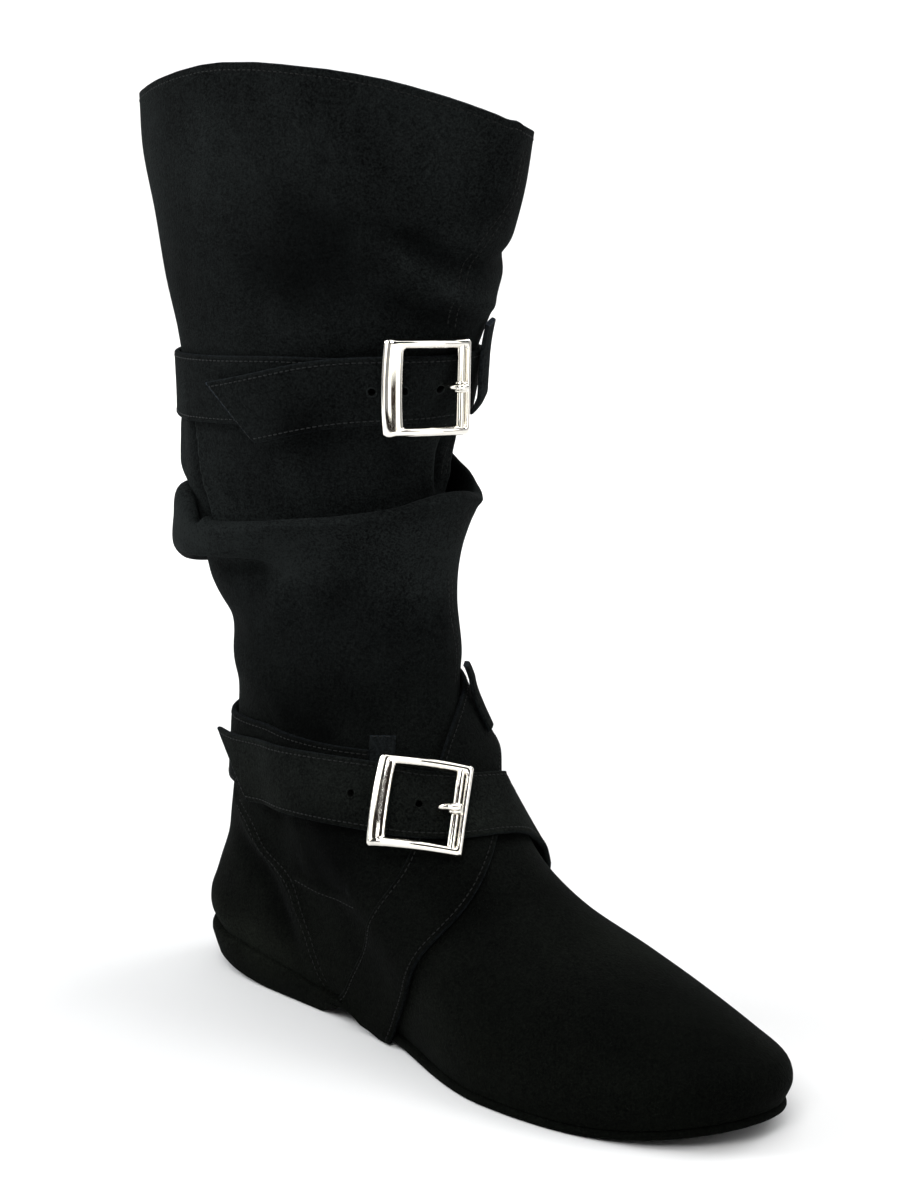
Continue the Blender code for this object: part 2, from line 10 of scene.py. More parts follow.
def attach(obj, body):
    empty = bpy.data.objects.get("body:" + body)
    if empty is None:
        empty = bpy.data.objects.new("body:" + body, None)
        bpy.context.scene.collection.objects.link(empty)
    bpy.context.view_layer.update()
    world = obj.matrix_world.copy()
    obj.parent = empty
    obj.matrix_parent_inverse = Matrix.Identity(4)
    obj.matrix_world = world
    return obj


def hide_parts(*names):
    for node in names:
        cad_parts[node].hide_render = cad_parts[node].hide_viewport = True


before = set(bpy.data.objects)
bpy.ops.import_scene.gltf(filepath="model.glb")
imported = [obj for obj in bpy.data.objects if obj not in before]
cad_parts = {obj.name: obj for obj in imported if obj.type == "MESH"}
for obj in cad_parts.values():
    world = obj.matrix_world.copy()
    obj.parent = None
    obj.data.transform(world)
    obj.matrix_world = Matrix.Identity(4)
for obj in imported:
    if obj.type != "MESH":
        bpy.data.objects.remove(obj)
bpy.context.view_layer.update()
mm = 0.001  # tables are in millimetres: x to the toe, -y to the outer side of the foot, z up
fineSteps = 321  # points along half a section before they are spread evenly
sharpFrom = 50  # degrees between faces
print("frame loaded:", len(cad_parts), "nodes")


class Sock:
    # a socket that can be used in expressions
    def __init__(self, tree, link=None):
        self.tree = tree
        self.link = link

    def add(self, kind, settings=None, inputs=None, out=0):
        node = self.tree.nodes.new(kind)
        for key, value in (settings or {}).items():
            setattr(node, key, value)
        for key, value in (inputs or {}).items():
            if isinstance(value, Sock):
                self.tree.links.new(value.link, node.inputs[key])
            else:
                node.inputs[key].default_value = value
        return Sock(self.tree, node.outputs[out])

    def maths(self, operation, *values):
        return self.add("ShaderNodeMath", {"operation": operation}, dict(enumerate(values)))

    def __add__(self, other):
        return self.maths("ADD", self, other)

    def __mul__(self, other):
        return self.maths("MULTIPLY", self, other)

    def stretched(self, scale):
        return self.add("ShaderNodeVectorMath", {"operation": "MULTIPLY"}, {0: self, 1: scale})

    def noise(self, size, detail=2.0, rough=0.5):
        inputs = {"Vector": self, "Scale": 1 / size, "Detail": detail, "Roughness": rough}
        return self.add("ShaderNodeTexNoise", None, inputs)

    def ranged(self, low, high, to=(0.0, 1.0)):
        inputs = {"Value": self, "From Min": low, "From Max": high, "To Min": to[0], "To Max": to[1]}
        return self.add("ShaderNodeMapRange", None, inputs)

    def between(self, first, second):
        return self.add("ShaderNodeMix", {"data_type": "RGBA"}, {0: self, 6: first, 7: second}, 2)

    def bumped(self, strength, depth):
        return self.add("ShaderNodeBump", None, {"Strength": strength, "Distance": depth, "Height": self})

    def mask(self, name):
        return self.add("ShaderNodeAttribute", {"attribute_name": name}, out="Fac")


def newMaterial(name, constants):
    material = bpy.data.materials.new(name)
    material.use_nodes = True
    shader = material.node_tree.nodes["Principled BSDF"]
    for key, value in constants.items():
        shader.inputs[key].default_value = value
    return material, shader, Sock(material.node_tree).add("ShaderNodeTexCoord", out="Object")


def feed(shader, links):
    for key, value in links.items():
        value.tree.links.new(value.link, shader.inputs[key])


suedeLook = {
    # the pale blue-grey tone serves wear and a painted highlight on cut edges
    "dark": (0.0004, 0.0005, 0.0005, 1), "light": (0.0112, 0.0132, 0.0130, 1), "wornAndHighlight": (0.045, 0.055, 0.070, 1),
    "lightLow": (0.0110, 0.0130, 0.0098, 1), "heights": (0.02, 0.14),  # a warmer tone near the floor
    "cloud": 0.030, "brush": 0.0055, "grain": 0.0011, "fibre": 0.0006,
    "fixed": {
        "Roughness": 0.96, "Specular IOR Level": 0.015, "Sheen Weight": 0.009, "Sheen Roughness": 0.24,
        "Sheen Tint": (0.82, 0.94, 0.97, 1),
    },
}


def suedeMaterial(look):
    material, shader, place = newMaterial("black_suede", look["fixed"])
    cloud = place.noise(look["cloud"], 1.5).ranged(0.33, 0.67)
    brush = place.stretched((1, 1, 0.45)).noise(look["brush"], 3.0, 0.6).ranged(0.33, 0.68)
    grain = place.noise(look["grain"], 2.0, 0.6).ranged(0.38, 0.64)
    fibre = place.noise(look["fibre"], 1.0).ranged(0.40, 0.62)
    nap = cloud * 0.22 + brush * 0.12 + grain * 0.30 + fibre * 0.36
    high = place.add("ShaderNodeSeparateXYZ", None, {0: place}, 2).ranged(*look["heights"])
    # the shade mask paints light and shade into the tone
    tone = (nap * place.mask("shade")).between(look["dark"], high.between(look["lightLow"], look["light"]))
    # pale tone: wear at the loose ends, a painted highlight along cut edges
    tone = (place.mask("wearAndHighlight") * grain.ranged(0, 1, (0.35, 1.0))).between(tone, look["wornAndHighlight"])
    feed(shader, {
        "Base Color": tone,
        "Roughness": cloud.ranged(0, 1, (0.9, 1.0)),
        "Normal": (grain * 0.55 + fibre * 0.45 + brush * 0.5).bumped(0.55, 0.00035),
    })
    return material


threadLook = {
    "strand": 0.0004,
    # darkest and lightest tone of each thread
    "tones": {
        "strap_thread": ((0.005, 0.0056, 0.0058, 1), (0.0108, 0.0119, 0.0124, 1)),
        "ankle_thread": ((0.003, 0.0034, 0.0034, 1), (0.0056, 0.0062, 0.0063, 1)),
        "seam_thread": ((0.0014, 0.0016, 0.0016, 1), (0.0026, 0.0029, 0.0028, 1)),
    },
}


def threadMaterial(name):
    material, shader, place = newMaterial(name, {"Roughness": 0.7, "Specular IOR Level": 0.15})
    strand = place.noise(threadLook["strand"]).ranged(0.3, 0.7)
    feed(shader, {"Base Color": strand.between(*threadLook["tones"][name]), "Normal": strand.bumped(0.4, 0.0001)})
    return material


soleLook = {
    "dark": (0.0010, 0.0011, 0.0011, 1), "light": (0.0042, 0.0044, 0.0043, 1), "layer": 0.0016, "scuff": 0.006,
}


def soleMaterial(look):
    material, shader, place = newMaterial("sole_leather_edge", {"Specular IOR Level": 0.05})
    layers = place.stretched((0.25, 0.25, 1)).noise(look["layer"], 3.0, 0.6).ranged(0.3, 0.7)
    scuff = place.noise(look["scuff"], 4.0, 0.65).ranged(0.42, 0.75)
    feed(shader, {
        "Base Color": (layers * 0.5 + scuff * 0.5).between(look["dark"], look["light"]),
        "Roughness": scuff.ranged(0, 1, (0.62, 0.95)),
        "Normal": (layers + scuff).bumped(0.35, 0.00025),
    })
    return material


liningLook = {"dark": (0.006, 0.0058, 0.0055, 1), "light": (0.018, 0.017, 0.016, 1), "grain": 0.0012, "patch": 0.02}


def liningMaterial(look):
    material, shader, place = newMaterial("lining_leather", {"Specular IOR Level": 0.3})
    grain = place.noise(look["grain"], 3.0, 0.6).ranged(0.3, 0.7)
    patch = place.noise(look["patch"], 3.0).ranged(0.35, 0.7)
    feed(shader, {
        "Base Color": (grain * 0.4 + patch * 0.6).between(look["dark"], look["light"]),
        "Roughness": patch.ranged(0, 1, (0.6, 0.8)),
        "Normal": grain.bumped(0.3, 0.0002),
    })
    return material


nickelLook = {"bright": (0.86, 0.83, 0.77, 1), "dull": (0.70, 0.67, 0.61, 1), "smear": 0.004, "scratch": 0.0006}


def nickelMaterial(look):
    material, shader, place = newMaterial("polished_nickel", {"Metallic": 1.0})
    smear = place.noise(look["smear"], 3.0, 0.6).ranged(0.4, 0.75)
    scratch = place.stretched((1, 1, 0.15)).noise(look["scratch"]).ranged(0.55, 0.75)
    feed(shader, {
        "Base Color": (smear * 0.6).between(look["bright"], look["dull"]),
        "Roughness": (smear * 0.08 + scratch * 0.05).ranged(0, 0.13, (0.07, 0.20)),
        "Normal": smear.bumped(0.0025, 0.0001),
    })
    return material


suede = suedeMaterial(suedeLook)
thread, ankleThread, seamThread = map(threadMaterial, threadLook["tones"])
soleLeather = soleMaterial(soleLook)
lining = liningMaterial(liningLook)
nickel = nickelMaterial(nickelLook)
print("materials made")


def smooth(t):
    t = np.clip(t, 0, 1)
    return t * t * (3 - 2 * t)


def unit(vectors):
    return vectors / np.maximum(np.linalg.norm(vectors, axis=-1, keepdims=True), 1e-9)


def bell(t):
    return np.exp(-(t**2))


def readAt(table, places):
    return np.interp(places, *zip(*table))


def turnsOf(count):
    return np.linspace(0, 2 * math.pi, count, endpoint=False)


def turned(first, second, angle):
    return first * math.cos(angle) + second * math.sin(angle), second * math.cos(angle) - first * math.sin(angle)


def lengths(points):
    return np.concatenate([[0], np.cumsum(np.linalg.norm(np.diff(points, axis=0), axis=1))])


def sampled(points, length, places):
    return np.stack([np.interp(places, length, axis) for axis in points.T], axis=1)


def evenly(points, count):
    length = lengths(points)
    return sampled(points, length, np.linspace(0, length[-1], count))


def evened(values, passes):
    for _ in range(passes):
        padded = np.concatenate([values[:1], values, values[-1:]])
        values = (padded[:-2] + 2 * padded[1:-1] + padded[2:]) / 4
    return values


def spline(route, step):
    # a smooth curve through the route, read at even steps
    route = np.asarray(route, float)
    ends = np.concatenate([[2 * route[0] - route[1]], route, [2 * route[-1] - route[-2]]])
    t = np.linspace(0, 1, 24, endpoint=False)[:, None]
    dense = []
    for a, b, c, d in zip(ends, ends[1:], ends[2:], ends[3:]):
        bend = (3 * b - a - 3 * c + d) * t**3 + (2 * a - 5 * b + 4 * c - d) * t**2
        dense.append((bend + (c - a) * t + 2 * b) / 2)
    dense = np.concatenate(dense + [route[-1:]])
    length = np.linalg.norm(np.diff(dense, axis=0), axis=1).sum()
    return evenly(dense, max(int(round(length / step)) + 1, 4))


def gridFaces(rows, columns, ring=False):
    # quads between closed rows of points; a ring also joins the last row to the first
    r = np.arange(rows if ring else rows - 1)[:, None]
    c = np.arange(columns)[None]
    here, after, n = r * columns, (r + 1) % rows * columns, (c + 1) % columns
    return np.stack([here + c, here + n, after + n, after + c], axis=-1).reshape(-1, 4)


def capped(rings):
    # a tube with both ends filled
    rows, count = len(rings), len(rings[0])
    ends = [list(range(first, first + count)) for first in (0, (rows - 1) * count)]
    return np.concatenate(rings), gridFaces(rows, count).tolist() + ends


def joined(*shapes):
    points, faces, first = [], [], 0
    for shapePoints, shapeFaces in shapes:
        points.append(shapePoints)
        faces += [[int(i) + first for i in face] for face in shapeFaces]
        first += len(shapePoints)
    return np.concatenate(points), faces


def newObject(name, data):
    thing = bpy.data.objects.new(name, data)
    bpy.context.scene.collection.objects.link(thing)
    return thing


# painted light and shade, partly nap tone: height and share, then soft patches as centre, radius and amount
paintedShadingPlan = {
    # by height: darker near the floor and lighter on the slouch fold, painted light from above
    "heights": (
        (0, 0.44), (30, 0.42), (60, 0.50), (85, 0.62), (105, 0.62), (130, 0.68), (150, 0.90), (159, 1.55),
        (175, 1.75),
        (182, 1.20), (192, 1.10), (215, 1.06), (235, 0.98), (260, 0.96), (290, 0.97), (330, 1.05),
    ),
    # painted shadows under the straps, the fold and in hollows; painted highlights on ridges, rolls and far edges
    "patches": (
        # shaft
        ((62, -36, 265), 15, -0.50), ((46, -43, 262), 12, -0.25), ((85, -6, 247), 10, -0.48),
        ((83, -22, 273), 5, -0.35), ((81, -22, 266), 4, 0.35), ((40, -47, 264), 16, -0.22),
        ((50, -44, 254), 14, -0.22),
        ((97, -4, 286), 8, -0.20), ((88, -8, 257), 5, 0.45), ((20, -51, 286), 20, 0.10), ((45, -48, 318), 16, 0.08),
        ((-50, -22, 292), 24, 0.32), ((-44, -22, 250), 16, 0.22), ((95, -14, 304), 18, 0.16),
        # between strap and fold, then ankle
        ((50, -36, 202), 14, -0.48), ((47, -40, 207), 9, -0.50), ((46, -34, 106), 9, -0.45),
        ((25, -40, 190), 12, -0.15), ((-10, -38, 196), 8, 0.25), ((-20, -38, 165), 18, 0.20),
        ((56, -30, 158), 14, -0.34), ((22, -36, 156), 12, -0.15), ((34, -33, 108), 14, -0.52),
        ((62, -26, 112), 11, -0.40),
        ((-14, -22, 128), 14, 0.32), ((40, -34, 140), 12, 0.14),
        # foot
        ((60, -32, 62), 16, -0.78), ((46, -32, 55), 9, -0.35), ((52, -33, 72), 10, -0.70), ((24, -31, 66), 10, -0.20),
        ((28, -31, 34), 8, -0.45), ((14, -30, 48), 7, -0.35), ((-29, -17, 20), 9, 1.50), ((-11, -28, 19), 9, 1.40),
        ((5, -29, 17), 9, 1.20), ((21, -30, 15), 9, 0.90),
        ((-30, -12, 42), 12, 0.30), ((114, -22, 54), 14, -0.50), ((110, -38, 17), 15, 0.34),
        ((130, -10, 48), 16, 0.08), ((137, -27, 37), 19, -0.30),
        ((206, -4, 20), 26, -0.48), ((180, -16, 31), 18, -0.36), ((150, -36, 20), 18, -0.18),
        ((150, 4, 44), 16, 0.20),
        ((150, 22, 42), 12, 0.35), ((177, 24, 34), 12, 0.40), ((205, 17, 28), 9, 0.50),
    ),
}


def paintedShadingAt(points, amount=1.0):
    points = np.asarray(points)
    shade = readAt(paintedShadingPlan["heights"], points[:, 2]) * amount
    for centre, radius, change in paintedShadingPlan["patches"]:
        far = np.linalg.norm(points - np.array(centre), axis=1)
        shade = shade * (1 + change * bell(far / radius))
    return shade


def addPiece(name, points, faces, materials, slot, replaced=(), masks=None, faceMaterials=None, sharp=sharpFrom):
    mesh = bpy.data.meshes.new(name)
    mesh.from_pydata((np.asarray(points) * mm).tolist(), [], [list(map(int, face)) for face in faces])
    for material in materials:
        mesh.materials.append(material)
    if faceMaterials is not None:
        mesh.polygons.foreach_set("material_index", np.asarray(faceMaterials, np.int32))
    for key, values in (masks or {}).items():
        mesh.attributes.new(key, "FLOAT", "POINT").data.foreach_set("value", np.asarray(values, np.float32))
    work = bmesh.new()
    work.from_mesh(mesh)
    bmesh.ops.recalc_face_normals(work, faces=work.faces)
    work.to_mesh(mesh)
    work.free()
    mesh.shade_smooth()
    mesh.set_sharp_from_angle(angle=math.radians(sharp))
    piece = newObject(name, mesh)
    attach(piece, "root")
    for node in replaced:
        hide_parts(node)
    return piece


solePlan = {
    "back": -37.3, "toe": 221.6, "thick": 3.0, "heelHigh": 13.0, "archFrom": -36.0, "treadFrom": 118.0,
    "springFrom": 170.0, "spring": 6.6, "swing": 9.0, "swingFrom": 60.0, "gap": 0.3,
    "outline": (30.0, 28.5, 42.2, 2.3),  # half widths at heel, waist and ball, roundness of the nose
    "stationsSole": (0.14, 0.42, 0.70), "stationsAnkle": (0.40, 0.50, 0.58), "heelRound": 2.4,
    "hollow": 2.0, "hollowAt": 0.40, "hollowSpread": 0.13, "shift": 2.1, "shiftFrom": 0.45, "shiftSpan": 0.25,
}


def soleUnder(x):
    plan = solePlan
    arch = plan["heelHigh"] * (1 - smooth((x - plan["archFrom"]) / (plan["treadFrom"] - plan["archFrom"])))
    return arch + plan["spring"] * np.clip((x - plan["springFrom"]) / (plan["toe"] - plan["springFrom"]), 0, None) ** 2


def soleTop(x):
    return soleUnder(x) + solePlan["thick"]


def swing(x):
    plan = solePlan
    return plan["swing"] * np.clip((x - plan["swingFrom"]) / (plan["toe"] - plan["swingFrom"]), 0, None) ** 2


def closedRing(outer, inner, count):
    half = count // 2 + 1
    return np.concatenate([evenly(outer, half), evenly(inner, half)[::-1][1:-1]])


def halfWidth(x, back, toe, heel, waist, ball, nose, part):
    stations = zip(solePlan["stationsSole"], solePlan["stationsAnkle"])
    atHeel, atWaist, atBall = (back + (toe - back) * (low + (high - low) * part) for low, high in stations)
    behind = np.clip((atHeel - x) / (atHeel - back), 0, 1)
    ahead = np.clip((x - atBall) / (toe - atBall), 0, 1)
    toWaist = heel + (waist - heel) * smooth((x - atHeel) / (atWaist - atHeel))
    toBall = waist + (ball - waist) * smooth((x - atWaist) / (atBall - atWaist))
    side = np.where(x < atWaist, toWaist, toBall)
    side = np.where(x < atHeel, heel * (1 - behind ** solePlan["heelRound"]) ** 0.5, side)
    return np.where(x > atBall, ball * (1 - ahead**nose) ** 0.5, side)


def footRing(back, toe, heel, waist, ball, nose, part, count):
    plan = solePlan
    x = back + (toe - back) * (1 - np.cos(np.linspace(0, math.pi, fineSteps))) / 2
    half = halfWidth(x, back, toe, heel, waist, ball, nose, part)
    along = (x - back) / (toe - back)
    hollow = plan["hollow"] * (1 - part) * bell((along - plan["hollowAt"]) / plan["hollowSpread"])
    shift = plan["shift"] * (1 - part) * smooth((along - plan["shiftFrom"]) / plan["shiftSpan"])
    outer = np.stack([x, swing(x) - shift - half], axis=1)
    inner = np.stack([x, swing(x) - shift + half - hollow], axis=1)
    return closedRing(outer, inner, count)


upperPlan = {
    "columns": 256, "rows": 284, "liningRows": 90, "wall": 2.0, "level": 70.0, "levelHigh": 6.0,
    "middle": 0.44, "crest": 0.58, "axis": 15.0, "drop": 2.5, "rear": (2.2, 0.5), "fore": (1.8, 0.55),
    "ankleRow": 2, "rimRow": 7,  # shaft rows that the slouch fold starts from and hangs by
    # the collar's cut edge is paler: wear with a painted highlight
    "edgeRise": 0.35, "edgeWearAndHighlight": 0.25, "liningEase": 12.0,
    # rise over the sole, back, toe, half widths at heel, waist and ball, roundness of the nose
    "foot": (
        (0, -33.2, 221.0, 27.6, 26.6, 41.2, 2.3),
        (6, -36, 223.4, 29.5, 29, 42.5, 2.35),
        (13, -35.3, 221.6, 30, 30.5, 42, 2.3),
        (20, -33.7, 212.2, 30, 31, 40.5, 2.1),
        (27, -32.4, 198, 30, 31.5, 38.5, 2),
        (34, -31, 175.5, 29.5, 32, 37, 2),
        (42, -29.4, 142.8, 29, 32.5, 36, 2),
        (52, -28, 119.8, 29, 33, 35, 2),
        (64, -26, 104.8, 29, 33.5, 35, 2),
        (78, -23.8, 91.6, 30, 34, 34.5, 2),
        (94, -20.8, 81.5, 31, 33.5, 33.5, 2),
    ),
    # height, back, front, outer, inner, and how far the rear, the front and the inner side drop
    "shaft": (
        (112, -19.4, 76, 33.5, 33.5, 0, 0, 0),
        (130, -24, 76.3, 33, 33, 0, 0, 0),
        (147, -35, 74, 35, 34, 1, -1, 0),
        (161, -40.5, 71.5, 37, 36, 8, -3, 0),
        (160, -47, 72, 40, 40, 14, -6, 0),
        (163, -51.8, 75, 43.5, 42, 14, -10, 0),
        (170, -51, 80, 45, 43, 7, -13, 0),
        (177, -47, 83, 45, 43, 0, -13, 0),
        (178, -45, 81, 43, 42, 0, -13, 0),
        (166, -43, 68, 39, 38, 2, -9, 0),
        (173, -43, 65, 38, 38, 1, -6, 0),
        (185, -44.5, 65, 40, 39, 0, -3, 0),
        (199, -44.5, 67, 41, 40, 0, 0, 0),
        (212, -42.5, 73, 43, 41, 0, 1, 0),
        (235, -46, 79.3, 45, 43, 0, 3, 0),
        (255, -52.5, 88, 48, 46, 1, 5, 2),
        (278, -57, 96, 50.5, 47, 4, 8, 5),
        (303, -63.6, 103.5, 52.5, 47, 9, 13, 12),
        (328, -66.2, 108, 52.5, 46, 18, 18, 22),
    ),
    "foldRows": (4, 10),  # shaft rows that only the outside follows
    # height of the slouch fold's rim from back to front, on the outer and on the inner side
    "rimOuter": (
        (0, 178), (0.1, 178.5), (0.18, 178), (0.24, 175), (0.30, 171.3), (0.36, 170.4), (0.44, 171.6), (0.55, 173.5),
        (0.66, 175.8), (0.78, 178), (0.89, 180.8), (0.94, 182.5), (1, 187),
    ),
    "rimInner": (
        (0, 178), (0.1, 181), (0.25, 187), (0.45, 192), (0.63, 191), (0.75, 188), (0.85, 184.5), (0.9, 183),
        (0.95, 184), (1, 187),
    ),
    # height of the collar's cut edge from back to front, on the outer and on the inner side
    "collarOuter": (
        (0, 310.5), (0.05, 313.2), (0.12, 316.2), (0.2, 318.7), (0.28, 321.9), (0.36, 324.7), (0.44, 327), (0.5, 328),
        (0.59, 328.3), (0.65, 327.8), (0.745, 326.5), (0.8, 325.2), (0.85, 323.6), (0.888, 321.8), (0.922, 319.8),
        (0.944, 318.3), (0.966, 316.4),
        (0.983, 314.5), (0.994, 312.8), (1, 311),
    ),
    "collarInner": (
        (0, 310.5), (0.12, 306), (0.3, 301.5), (0.6, 300), (0.72, 301), (0.832, 303.5), (0.888, 305), (0.922, 306.2),
        (0.944, 307), (0.966, 307.8), (0.983, 308.5), (0.994, 309.4), (1, 311),
    ),
    "rimShare": ((5, 0.5), (6, 0.85), (7, 1.0), (8, 1.0)),  # shaft row, how far it follows the rim
    # from here to the front the fold flares out of the ankle with no overhang: shaft row, share up, share out
    "flareFrom": 0.46, "flareSpan": 0.22,
    "flare": ((3, 0.32, 0.06), (4, 0.52, 0.22), (5, 0.72, 0.50), (6, 0.88, 0.80)),
    "liningIn": (84.0, 290.0, 4.5),  # between these heights the lining keeps clear of the creases
    "creaseShading": 0.20, "creaseClip": (0.40, 1.60),  # painted shade in the troughs and painted light on the ridges
    "counterStep": 0.7, "counterEase": 2.6, "counterBase": 12.0, "counterTop": 60.0,
    "counterFront": 45.0, "counterLean": 0.2, "counterCurve": 0.0145,
}


def footSections(count):
    rows = upperPlan["foot"]
    longest = rows[0][2] - rows[0][1]
    shortest = rows[-1][2] - rows[-1][1]
    rings = []
    for rise, back, toe, *sides in rows:
        part = min(max((longest - toe + back) / (longest - shortest), 0), 1)
        ring = footRing(back, toe, *sides, part, count)
        follow = 1 - smooth(rise / upperPlan["level"])
        z = solePlan["gap"] + rise + soleTop(ring[:, 0]) * follow + upperPlan["levelHigh"] * (1 - follow)
        rings.append(np.column_stack([ring, z]))
    return rings


def oval(back, front, outer, inner, count):
    s = -np.cos(np.linspace(0, math.pi, fineSteps))
    middle = back + (front - back) * upperPlan["middle"]
    x = np.where(s < 0, middle + s * (middle - back), middle + s * (front - middle))
    shapes = (upperPlan["rear"], upperPlan["fore"])
    rear, fore = (np.clip(1 - np.abs(s) ** shape, 0, None) ** fullness for shape, fullness in shapes)
    bulge = np.where(s < 0, rear, fore)
    return closedRing(np.stack([x, -outer * bulge], axis=1), np.stack([x, inner * bulge], axis=1), count)


def shaftSections(count):
    crest = upperPlan["crest"]
    rings = []
    for height, back, front, outer, inner, rearDrop, frontDrop, innerDrop in upperPlan["shaft"]:
        ring = oval(back, front, outer, inner, count)
        along = (ring[:, 0] - back) / (front - back)
        rear = np.clip((crest - along) / crest, 0, 1) ** upperPlan["drop"]
        fore = np.clip((along - crest) / (1 - crest), 0, 1) ** upperPlan["drop"]
        z = height - rearDrop * rear - frontDrop * fore
        z = z - innerDrop * np.clip(ring[:, 1] / inner, 0, 1)
        if height == upperPlan["shaft"][-1][0]:
            outerEdge, innerEdge = (readAt(upperPlan[key], along) for key in ("collarOuter", "collarInner"))
            z = np.where(ring[:, 1] < 0, outerEdge, innerEdge)
        rings.append(np.column_stack([ring, z]))
    return foldShaped(rings)


def foldShaped(rings):
    # the slouch fold: a drooping roll at the back and outer side that runs out into a flared rim at the front
    plan = upperPlan
    ankle, rim = rings[plan["ankleRow"]], rings[plan["rimRow"]]
    _, back, front = plan["shaft"][plan["rimRow"]][:3]
    along = (rim[:, 0] - back) / (front - back)
    outer, inner = (readAt(plan[key], along) for key in ("rimOuter", "rimInner"))
    lift = np.where(rim[:, 1] < 0, outer, inner) - rim[:, 2]
    for row, share in plan["rimShare"]:
        rings[row][:, 2] += lift * share
    blend = smooth((along - plan["flareFrom"]) / plan["flareSpan"])[:, None]
    for row, rise, out in plan["flare"]:
        flare = ankle + (rim - ankle) * np.array([out, out, rise])
        rings[row] = rings[row] * (1 - blend) + flare * blend
    return rings


def throughRows(rings, rowCount):
    # a smooth surface through the sections, with its rows spread evenly up the boot
    rings = np.array(rings)
    step = np.linalg.norm(np.diff(rings, axis=0), axis=2).mean(axis=1)
    place = np.concatenate([[0], np.cumsum(step)])
    slope = np.gradient(rings, place, axis=0)
    at = np.linspace(0, place[-1], rowCount)
    k = np.clip(np.searchsorted(place, at, side="right") - 1, 0, len(place) - 2)
    span = (place[k + 1] - place[k])[:, None, None]
    t = ((at - place[k]) / (place[k + 1] - place[k]))[:, None, None]
    start = rings[k] * (2 * t**3 - 3 * t**2 + 1) + slope[k] * span * (t**3 - 2 * t**2 + t)
    return start + rings[k + 1] * (3 * t**2 - 2 * t**3) + slope[k + 1] * span * (t**3 - t**2)


def gridNormals(grid):
    around = np.roll(grid, -1, axis=1) - np.roll(grid, 1, axis=1)
    return unit(np.cross(around, np.gradient(grid, axis=0)))


# soft creases, in boot sizes: route over the surface, half width, rise (a trough is below nought)
creaseRows = (
    # above the upper strap, at the front
    (((66, -34, 282), (79, -26, 276), (85, -19, 271), (89, -11, 266), (91, -2, 265), (87, 14, 266), (76, 30, 267),
      (60, 40, 266)), 4.2, -2.6),
    (((70, -31, 272), (79, -25, 268), (84, -16, 261), (87, -8, 256), (88, 3, 252), (85, 15, 249), (74, 30, 248),
      (56, 41, 247)), 3.0, 2.9),
    (((68, -29, 255), (77, -20, 251), (82, -12, 247), (85, -2, 244)), 4.6, -2.4),
    (((86, -16, 284), (90, -10, 275), (90, -6, 268)), 3.2, 1.6),
    (((82, -22, 281), (86, -17, 274), (86, -14, 268)), 3.5, -1.5),
    (((40, -46, 283), (58, -40, 277), (72, -31, 272)), 8.0, -2.0),
    (((20, -48, 262), (42, -45, 258), (60, -37, 252)), 10.0, -1.4),
    (((30, -48, 246), (50, -41, 243), (64, -32, 241)), 7.0, 1.2),
    (((-30, -38, 300), (0, -50, 296), (30, -51, 299)), 16.0, 0.9),
    (((-34, -34, 262), (-16, -44, 256), (4, -48, 250)), 9.0, -1.2),
    # heel panel's padded edge and the hollow behind it
    (((-6, -27, 64), (12, -29, 54), (24, -30, 47), (34, -31, 37), (42, -31, 22)), 2.5, 1.8),
    (((-12, -26, 58), (4, -28, 49), (18, -30, 41), (28, -30, 28), (36, -30, 16)), 5.0, -2.2),
    (((-30, -14, 30), (-20, -24, 26), (-4, -29, 24)), 7.0, 0.8),
    # back layer behind the near panel's edge
    (((-34, -26, 212), (-34, -26, 194), (-30, -30, 178)), 6.0, 2.4),
    # pleats at the front, under the buckle
    (((72, -2, 214), (67, 1, 197), (63, 3, 182)), 2.0, 1.7),
    (((70, 4, 214), (65, 7, 197), (61, 8, 182)), 1.8, -2.6),
    (((66, 11, 212), (61, 14, 196), (57, 15, 182)), 2.4, 1.8),
    (((66, -12, 206), (64, -12, 196), (62, -12, 186)), 5.0, -1.2),
    (((36, -33, 204), (38, -32, 190), (38, -32, 182)), 9.0, 0.9),
    # hollow under the slouch fold, and what runs off it
    (((-8, -31, 153), (14, -35, 156), (28, -34, 158)), 3.5, -1.8),
    (((46, -32, 163), (33, -32, 156), (27, -33, 146), (20, -33, 136)), 5.5, 1.5),
    (((62, -22, 158), (52, -29, 148), (44, -32, 136)), 6.0, -1.3),
    (((72, 4, 156), (66, -14, 150), (56, -27, 148)), 4.5, 1.1),
    (((74, 6, 140), (68, -12, 137), (58, -25, 134)), 5.0, -1.0),
    (((-20, -12, 140), (-8, -26, 134), (10, -33, 132)), 6.0, -1.3),
    (((-22, -8, 128), (-12, -22, 122), (7, -32, 117), (29, -33, 116)), 5.0, 1.2),
    # over the ankle straps
    (((20, -33, 106), (48, -32, 102), (62, -28, 101)), 6.0, -2.2),
    (((66, 24, 150), (46, 33, 146), (20, 33, 144)), 6.0, -1.4),
    (((62, 27, 138), (40, 33, 134), (10, 32, 134)), 6.0, 1.2),
    (((-22, 8, 136), (-8, 26, 134), (14, 33, 130)), 6.0, -1.3),
    # inner side of the slouch
    (((60, 25, 204), (58, 26, 192), (55, 27, 184)), 5.0, -1.8),
    (((30, 38, 206), (30, 38, 192), (28, 38, 184)), 8.0, 1.2),
    (((-14, 36, 206), (-14, 36, 192), (-10, 37, 182)), 5.0, -2.6),
    # instep and vamp
    (((112, -26, 50), (120, -12, 55), (122, 6, 55), (116, 24, 51)), 6.0, -0.8),
    (((130, -30, 36), (140, -8, 43), (140, 14, 43)), 7.0, -0.6),
)


def mirrored(route):
    return tuple((x, -y, z) for x, y, z in route)


